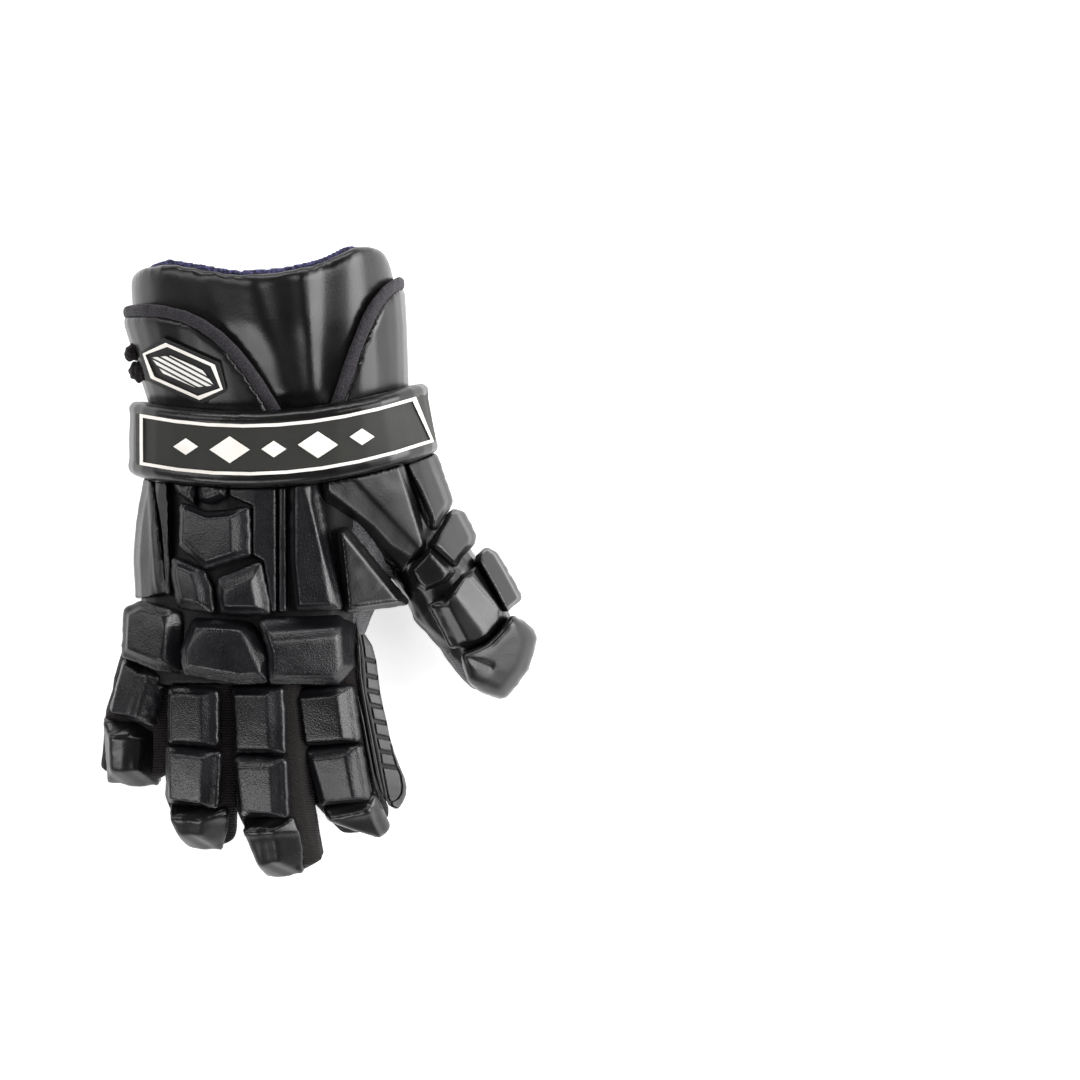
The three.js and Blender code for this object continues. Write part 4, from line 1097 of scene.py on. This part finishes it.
@dataclass
class GripStrip:
    """The rubber strip beside the index finger: nine cells, grooves between them with painted shade, and a
    border.
    """

    node: str = "index_side_strip"
    left: Route = (
        (359, 634), (361, 645), (363, 660), (364, 676), (365, 692), (369, 708), (372, 723), (375, 740),
        (378, 754), (380, 768), (383, 785), (385.5, 797), (389, 804.5), (395, 808),
    )
    right: Route = (
        (366, 634), (373, 645), (377, 660), (379, 676), (381, 692), (384, 707), (387.5, 721), (390.5, 737),
        (395, 752), (400, 765), (405, 777), (407, 786), (406.5, 794), (403.5, 801.5), (399, 808),
    )
    inside: Route = (
        (377, 634), (377, 660), (380, 692), (390.5, 737), (392.5, 751), (396.5, 764.4), (401, 775),
        (402.5, 786), (401.5, 793), (398, 798.5), (392, 801.5),
    )
    dividers: tuple[float, ...] = (659.5, 675.5, 690.5, 705, 721, 736.2, 751.2, 766)
    across: int = 28
    along: int = 300
    slant: float = 3.5
    divider: tuple[float, float] = (1.45, 3.19)
    border: float = 3.4
    groove: tuple[float, float] = (0.48, 1.28)
    depth: float = 1.3 * MM
    thickness: float = 3 * MM
    raised: float = 0.5 * MM
    roll: float = 0.8
    painted_shade_from: float = 0.45
    probes: tuple[float, float] = (0.3, 0.7)
    softening: int = 30
    crisp: float = math.radians(50)

    def edge(self, line: Route, rows: np.ndarray) -> np.ndarray:
        """Gives an edge's column at each row."""
        corners = np.array(line)
        return np.interp(rows, corners[:, 1], corners[:, 0])

    def cut(self, rows: np.ndarray, columns: np.ndarray) -> np.ndarray:
        """Finds the grooves.

        Args:
            rows: Each point's row in the photograph.
            columns: Its column.

        Returns:
            How deep in a groove it lies, from 0 to 1.
        """
        start, end, inside = (self.edge(line, rows) for line in (self.left, self.right, self.inside))
        within = (columns > start + self.border) & (columns < inside)
        level = rows - self.slant * ((columns - start) / (end - start) - 0.5)
        off = np.min([np.abs(level - divider) for divider in self.dividers], axis=0)
        cells = (1 - ease(off, *self.divider)) * within
        side = np.where(end - inside > 1, np.abs(columns - inside), self.border)
        tail = np.where(within, np.abs(rows - self.inside[-1][1]), self.border)
        rim = np.min([np.abs(columns - start - self.border), side, tail], axis=0)
        return np.maximum(cells, 1 - ease(rim, *self.groove))

    def heights(self, rows: np.ndarray, share: np.ndarray) -> np.ndarray:
        """Lays points on the frame's strip.

        Args:
            rows: Each point's row in the photograph.
            share: Its share of the way across.

        Returns:
            Its height.
        """
        stops = np.linspace(self.left[0][1], self.left[-1][1], self.along)
        low, high = self.edge(self.left, stops), self.edge(self.right, stops)
        found = []
        for probe in self.probes:
            plan = np.column_stack(spot(low + probe * (high - low), stops))
            heights = softened(heights_over([self.node], plan), self.softening)
            found.append(np.interp(rows, stops, heights))
        first, last = self.probes
        return found[0] + (share - first) / (last - first) * (found[1] - found[0])

    def build(self) -> list[bpy.types.Object]:
        """Builds the strip.

        Returns:
            The strip alone.
        """
        deselect()
        bpy.ops.mesh.primitive_grid_add(x_subdivisions=self.across, y_subdivisions=self.along, size=1)
        piece = bpy.context.object
        piece.name = f"{self.node}_rubber"
        flat = points_of(piece)
        share = flat[:, 0] + 0.5
        rows = self.left[0][1] + (0.5 - flat[:, 1]) * (self.left[-1][1] - self.left[0][1])
        starts, ends = self.edge(self.left, rows), self.edge(self.right, rows)
        columns = starts + share * (ends - starts)
        cut = self.cut(rows, columns)
        rolled = 1 - ease(np.minimum(columns - starts, ends - columns), 0, self.roll * self.border)
        z = self.heights(rows, share) + self.raised - self.depth * (cut + self.roll * rolled * rolled)
        set_points(piece, np.column_stack([*spot(columns, rows), z]))
        # Faces deep in a groove take the near-black look: painted shade in the grooves.
        dark = np.array([cut[list(face.vertices)].mean() > self.painted_shade_from for face in piece.data.polygons])
        dress(piece, [Look.RUBBER, Look.GROOVE], [self.node])
        piece.data.polygons.foreach_set("material_index", dark.astype(np.int32))
        with editing(piece, "FACE"):
            bpy.ops.mesh.select_all(action="SELECT")
            bpy.ops.mesh.extrude_region_move(TRANSFORM_OT_translate={"value": (0, 0, -self.thickness)})
            bpy.ops.mesh.select_all(action="SELECT")
            bpy.ops.mesh.normals_make_consistent(inside=False)
        smooth_shading(piece, self.crisp)
        return [piece]


@dataclass
class Roll:
    """A thin roll or piping of leather laid along a line of the back."""

    name: str
    line: Route
    radius: float
    over: tuple[str, ...]
    look: Look = Look.SMOOTH
    sunk: float = 0.3
    steps: int = 40
    softening: int = 2
    bluntness: int = 6
    thinnest: float = 0.02

    def laid(self) -> np.ndarray:
        """Lays the line on the frame nodes below it.

        Returns:
            Its points.
        """
        corners = np.array([spot(*corner) for corner in self.line])
        reach = np.concatenate([[0], np.cumsum(np.linalg.norm(np.diff(corners, axis=0), axis=1))])
        stops = np.linspace(0, reach[-1], self.steps)
        plan = np.stack([np.interp(stops, reach, corners[:, axis]) for axis in (0, 1)], axis=1)
        heights = softened(heights_over(self.over, plan), self.softening)
        return np.column_stack([plan, heights + (1 - 2 * self.sunk) * self.radius])

    def build(self) -> bpy.types.Object:
        """Builds the roll.

        Returns:
            The roll.
        """
        points = self.laid()
        deselect()
        bpy.ops.curve.primitive_nurbs_path_add(location=(0, 0, 0))
        curve = bpy.context.object
        curve.name = self.name
        spline = curve.data.splines[0]
        spline.points.add(len(points) - len(spline.points))
        spline.use_endpoint_u = True
        spline.order_u = 3
        for step, (point, target) in enumerate(zip(spline.points, points)):
            side = abs(2 * step / (len(points) - 1) - 1)
            point.co = (*target, 1)
            point.radius = min(1, math.sqrt(max(self.thinnest, 1 - side ** self.bluntness)))
        curve.data.bevel_depth = self.radius
        curve.data.bevel_resolution = 4
        curve.data.resolution_u = 3
        curve.data.use_fill_caps = True
        activate(curve)
        bpy.ops.object.convert(target="MESH")
        piece = bpy.context.object
        smooth_shading(piece)
        return dress(piece, [self.look])


@dataclass
class Trim:
    """A small moulded or printed piece with rounded edges."""

    node: str
    look: Look
    bevel: float
    crisp: float = math.radians(35)

    def build(self) -> bpy.types.Object:
        """Builds the piece.

        Returns:
            The piece.
        """
        piece = node_copy(self.node, f"{self.node}_finished")
        apply_modifier(piece, "BEVEL", width=self.bevel, segments=3, limit_method="ANGLE",
                       angle_limit=self.crisp, use_clamp_overlap=True)
        smooth_shading(piece, self.crisp)
        return dress(piece, [self.look], [self.node])


# Sub-assemblies


@dataclass
class Hand:
    """The palm, the hand's cloth and the sleeves of the thumb and the fingers."""

    palm: Cloth = Cloth(voxel=1.4 * MM, passes=1, ripple=0, grow=0)
    back: Cloth = Cloth(voxel=1.25 * MM, passes=4)
    under: Cloth = Cloth(voxel=1.5 * MM, passes=3, grow=0)
    thumb: Cloth = Cloth(voxel=1.05 * MM, passes=4, ripple=0.7 * MM, lump=7 * MM, grow=0.7 * MM)
    finger: Cloth = Cloth(voxel=1 * MM, passes=3)
    fingers: tuple[str, ...] = ("little", "ring", "middle", "index")
    knuckle_line: float = -64.8 * MM
    tuck: float = 4 * MM
    mesh_seam: Line = Line((354, 560), (354, 640))
    thumb_seam: Line = Line((385, 588), (466, 668))

    def cloths(self) -> list[Shell]:
        """Lists the palm, the hand's cloth and the thumb's sleeve."""
        return [
            Shell("palm", Look.PALM, 0, self.palm),
            # The hand shell wears the near-black bed: partly its own dark colour, partly painted shade
            # between the pads.
            Shell("hand_shell", Look.BED, 1, self.back, second=Look.MESH, seam=self.mesh_seam),
            Shell("hand_palm_panel", Look.STRETCH, 2, self.under),
            Shell("thumb_sleeve", Look.MESH, 3, self.thumb, second=Look.SMOOTH, seam=self.thumb_seam),
        ]

    def sleeves(self) -> list[Shell]:
        """Lists the fingers' sleeves, tucked in at the knuckles."""
        return [Shell(f"{finger}_sleeve", Look.STRETCH, seed, self.finger, self.tuck, self.knuckle_line)
                for seed, finger in enumerate(self.fingers, start=4)]

    def build(self) -> list[bpy.types.Object]:
        """Builds the hand's cloth."""
        return [shell.build() for shell in (*self.cloths(), *self.sleeves())]


@dataclass
class Cuff:
    """The flared cuff: its panels, lining, wings and their trims, and the lace's knots."""

    back: Cloth = Cloth(voxel=1.8 * MM, passes=36, lump=30 * MM, grow=1 * MM)
    under: Cloth = Cloth(voxel=2 * MM, passes=10)
    lining: Cloth = Cloth(voxel=1 * MM, passes=4)
    wing: Cloth = Cloth(voxel=1.3 * MM, passes=12, ripple=0.4 * MM, lump=24 * MM, grow=0.6 * MM)
    trim: Cloth = Cloth(voxel=1.1 * MM, grow=0.8 * MM)
    knot: Cloth = Cloth(voxel=0.5 * MM, passes=2, ripple=1.3 * MM, lump=2.6 * MM)

    def shells(self) -> list[Shell]:
        """Lists the cuff's pieces."""
        return [
            Shell("cuff_back_panel", Look.SMOOTH, 8, self.back),
            Shell("cuff_palm_panel", Look.STRETCH, 9, self.under),
            Lining("cuff_lining", Look.LINING, 10, self.lining),
            Shell("cuff_wing_left", Look.SMOOTH, 11, self.wing),
            Shell("cuff_wing_right", Look.SMOOTH, 12, self.wing),
            Shell("wing_trim_left", Look.NEOPRENE, 13, self.trim),
            Shell("wing_trim_right", Look.NEOPRENE, 14, self.trim),
            Shell("lace_knot_1", Look.STRETCH, 16, self.knot),
            Shell("lace_knot_2", Look.STRETCH, 17, self.knot),
        ]

    def build(self) -> list[bpy.types.Object]:
        """Builds the cuff."""
        return [shell.build() for shell in self.shells()]


@dataclass
class WristBand:
    """The padded band round the wrist with its printed frame and lozenges."""

    padding: Cloth = Cloth(passes=8, lump=20 * MM)
    frame_bevel: float = 0.2 * MM
    mark_bevel: float = 0.3 * MM
    marks: int = 5

    def build(self) -> list[bpy.types.Object]:
        """Builds the band and its print.

        Returns:
            Their pieces.
        """
        made = [Band("wrist_band", Look.SMOOTH, 15, self.padding).build()]
        made.append(Trim("label_frame", Look.PRINT, self.frame_bevel).build())
        for number in range(1, self.marks + 1):
            made.append(Trim(f"band_mark_{number}", Look.PRINT, self.mark_bevel).build())
        return made


@dataclass
class Badge:
    """The six-sided badge on the wing: a dark plate, a rim and a striped lozenge."""

    plate_bevel: float = 0.5 * MM
    print_bevel: float = 0.2 * MM

    def build(self) -> list[bpy.types.Object]:
        """Builds the badge."""
        return [
            Trim("badge_plate", Look.GROOVE, self.plate_bevel).build(),
            Trim("badge_rim", Look.PRINT, self.print_bevel).build(),
            Trim("badge_lozenge", Look.STRIPED, self.print_bevel).build(),
        ]


@dataclass
class Pipings:
    """The thin leather rolls on the thumb, along the back and beside the grip strip."""

    flute: float = 2.3 * MM
    flute_sunk: float = 0.2
    flute_line: Route = ((407, 462), (418, 490), (431, 527))
    bed: float = 2.6 * MM
    bed_sunk: float = 1.3
    bed_line: Route = ((359, 640), (363, 690), (371, 730), (378, 765), (387, 800))
    back: float = 0.6 * MM
    back_line: Route = ((171, 484), (172, 540), (170, 596))
    outer: float = 1.0 * MM
    outer_line: Route = (
        (356, 612), (359, 640), (361, 676), (366, 708), (372, 740), (378, 772), (384, 796),
    )
    inner: float = 0.8 * MM
    inner_line: Route = ((358, 694), (363, 718), (368, 745), (374, 776), (380, 800))
    strip_nodes: tuple[str, ...] = ("index_sleeve", "hand_shell", "index_side_strip")

    def rolls(self) -> list[Roll]:
        """Lists the rolls."""
        return [
            Roll("thumb_flute", self.flute_line, self.flute, ("thumb_sleeve", "hand_shell"),
                 sunk=self.flute_sunk),
            # The strip's bed is a near-black roll sunk under the strip's edge: painted shade filling the
            # crevice there.
            Roll("strip_bed", self.bed_line, self.bed, ("index_side_strip",), look=Look.GROOVE,
                 sunk=self.bed_sunk),
            Roll("back_piping", self.back_line, self.back, ("hand_shell", "side_flute_inner")),
            Roll("index_piping_outer", self.outer_line, self.outer, self.strip_nodes),
            Roll("index_piping_inner", self.inner_line, self.inner, self.strip_nodes),
        ]

    def build(self) -> list[bpy.types.Object]:
        """Builds the pipings."""
        return [roll.build() for roll in self.rolls()]


# Studio


@dataclass(frozen=True)
class SoftBox:
    """A studio light: a wide soft panel."""

    name: str
    place: tuple[float, float, float]
    size: tuple[float, float]
    watts: float

    def build(self, target: Vector) -> bpy.types.Object:
        """Adds the light.

        Args:
            target: What it is turned to.

        Returns:
            The light.
        """
        data = bpy.data.lights.new(self.name, "AREA")
        data.shape = "RECTANGLE"
        data.size, data.size_y = self.size
        data.energy = self.watts
        light = bpy.data.objects.new(self.name, data)
        light.location = self.place
        light.rotation_euler = (target - Vector(self.place)).to_track_quat("-Z", "Y").to_euler()
        light.visible_camera = False
        bpy.context.scene.collection.objects.link(light)
        return light


@dataclass
class Studio:
    """The pale floor, the soft light and the camera."""

    camera_height: float = 10.0
    sensor: float = 36.0
    zenith: float = 0.03
    horizon: float = 0.4
    floor_size: float = 40.0
    floor_drop: float = 0.2 * MM
    floor_tones: tuple[Colour, Colour] = ((0.84, 0.84, 0.84), (0.88, 0.88, 0.88))
    floor_cloud: float = 0.4
    floor_glow: float = 0.72
    target: tuple[float, float, float] = (0, 0, 0.03)
    boxes: tuple[SoftBox, ...] = (
        SoftBox("right_box", (1.2, 0.1, 1.0), (0.4, 1.6), 10),
        SoftBox("right_low", (1.45, 0.0, 0.58), (1.8, 0.8), 26),
        SoftBox("left_box", (-1.15, 0.2, 1.05), (0.4, 1.6), 6),
        SoftBox("left_strip", (-0.8, 0.5, 1.32), (0.12, 1.2), 3),
        SoftBox("front_box", (-0.5, -1.1, 1.0), (1.2, 0.5), 10),
        SoftBox("back_box", (0.1, 1.3, 0.7), (1.6, 0.4), 12),
    )

    def camera(self) -> bpy.types.Object:
        """Adds the camera, looking straight down on the frame of the photograph.

        Returns:
            The camera.
        """
        data = bpy.data.cameras.new("camera")
        data.sensor_width = self.sensor
        data.lens = self.sensor * self.camera_height / (IMAGE_SIDE * PIXEL)
        data.clip_end = 4 * self.camera_height
        made = bpy.data.objects.new("camera", data)
        made.location = (*spot(IMAGE_SIDE / 2, IMAGE_SIDE / 2), self.camera_height)
        bpy.context.scene.collection.objects.link(made)
        bpy.context.scene.camera = made
        return made

    def floor(self) -> bpy.types.Object:
        """Adds the floor.

        Returns:
            The floor.
        """
        deselect()
        bpy.ops.mesh.primitive_plane_add(size=self.floor_size, location=(0, 0, -self.floor_drop))
        made = bpy.context.object
        made.name = "floor"
        surface = bpy.data.materials.new("floor_paper")
        surface.use_nodes = True
        board = Board(surface.node_tree)
        shader = board.add("ShaderNodeBsdfPrincipled", {
            "Base Color": board.blend(board.noise(board.place(), self.floor_cloud), *self.floor_tones),
            "Roughness": 0.9,
            "Emission Color": (1, 1, 1, 1),
            "Emission Strength": self.floor_glow,
        })
        board.add("ShaderNodeOutputMaterial", {"Surface": shader.outputs["BSDF"]})
        made.data.materials.append(surface)
        return made

    def air(self) -> None:
        """Adds the studio's air: dim overhead and pale at the horizon."""
        world = bpy.data.worlds.new("studio_air")
        world.use_nodes = True
        board = Board(world.node_tree)
        heading = board.add("ShaderNodeTexCoord").outputs["Generated"]
        height = board.add("ShaderNodeSeparateXYZ", {"Vector": heading}).outputs["Z"]
        low = board.math("POWER", board.math("SUBTRACT", 1.0, board.math("ABSOLUTE", height)), 2.0)
        strength = board.span(low, (0, 1), (self.zenith, self.horizon))
        glow = board.add("ShaderNodeBackground", {"Color": (1, 1, 1, 1), "Strength": strength})
        board.add("ShaderNodeOutputWorld", {"Surface": glow.outputs["Background"]})
        bpy.context.scene.world = world

    def build(self) -> None:
        """Builds the whole studio."""
        self.camera()
        self.floor()
        for box in self.boxes:
            box.build(Vector(self.target))
        self.air()
        bpy.context.scene.view_settings.view_transform = "Standard"
        bpy.context.scene.view_settings.look = "None"


def main() -> None:
    """Builds the studio and the glove."""
    logging.basicConfig(level=logging.INFO, format="%(message)s")
    Studio().build()
    for assembly in (Pads(), Hand(), Cuff(), WristBand(), Badge(), GripStrip(), Pipings()):
        for piece in assembly.build():
            LOG.info("%s: %d faces", piece.name, len(piece.data.polygons))


if __name__ == "__main__":
    main()
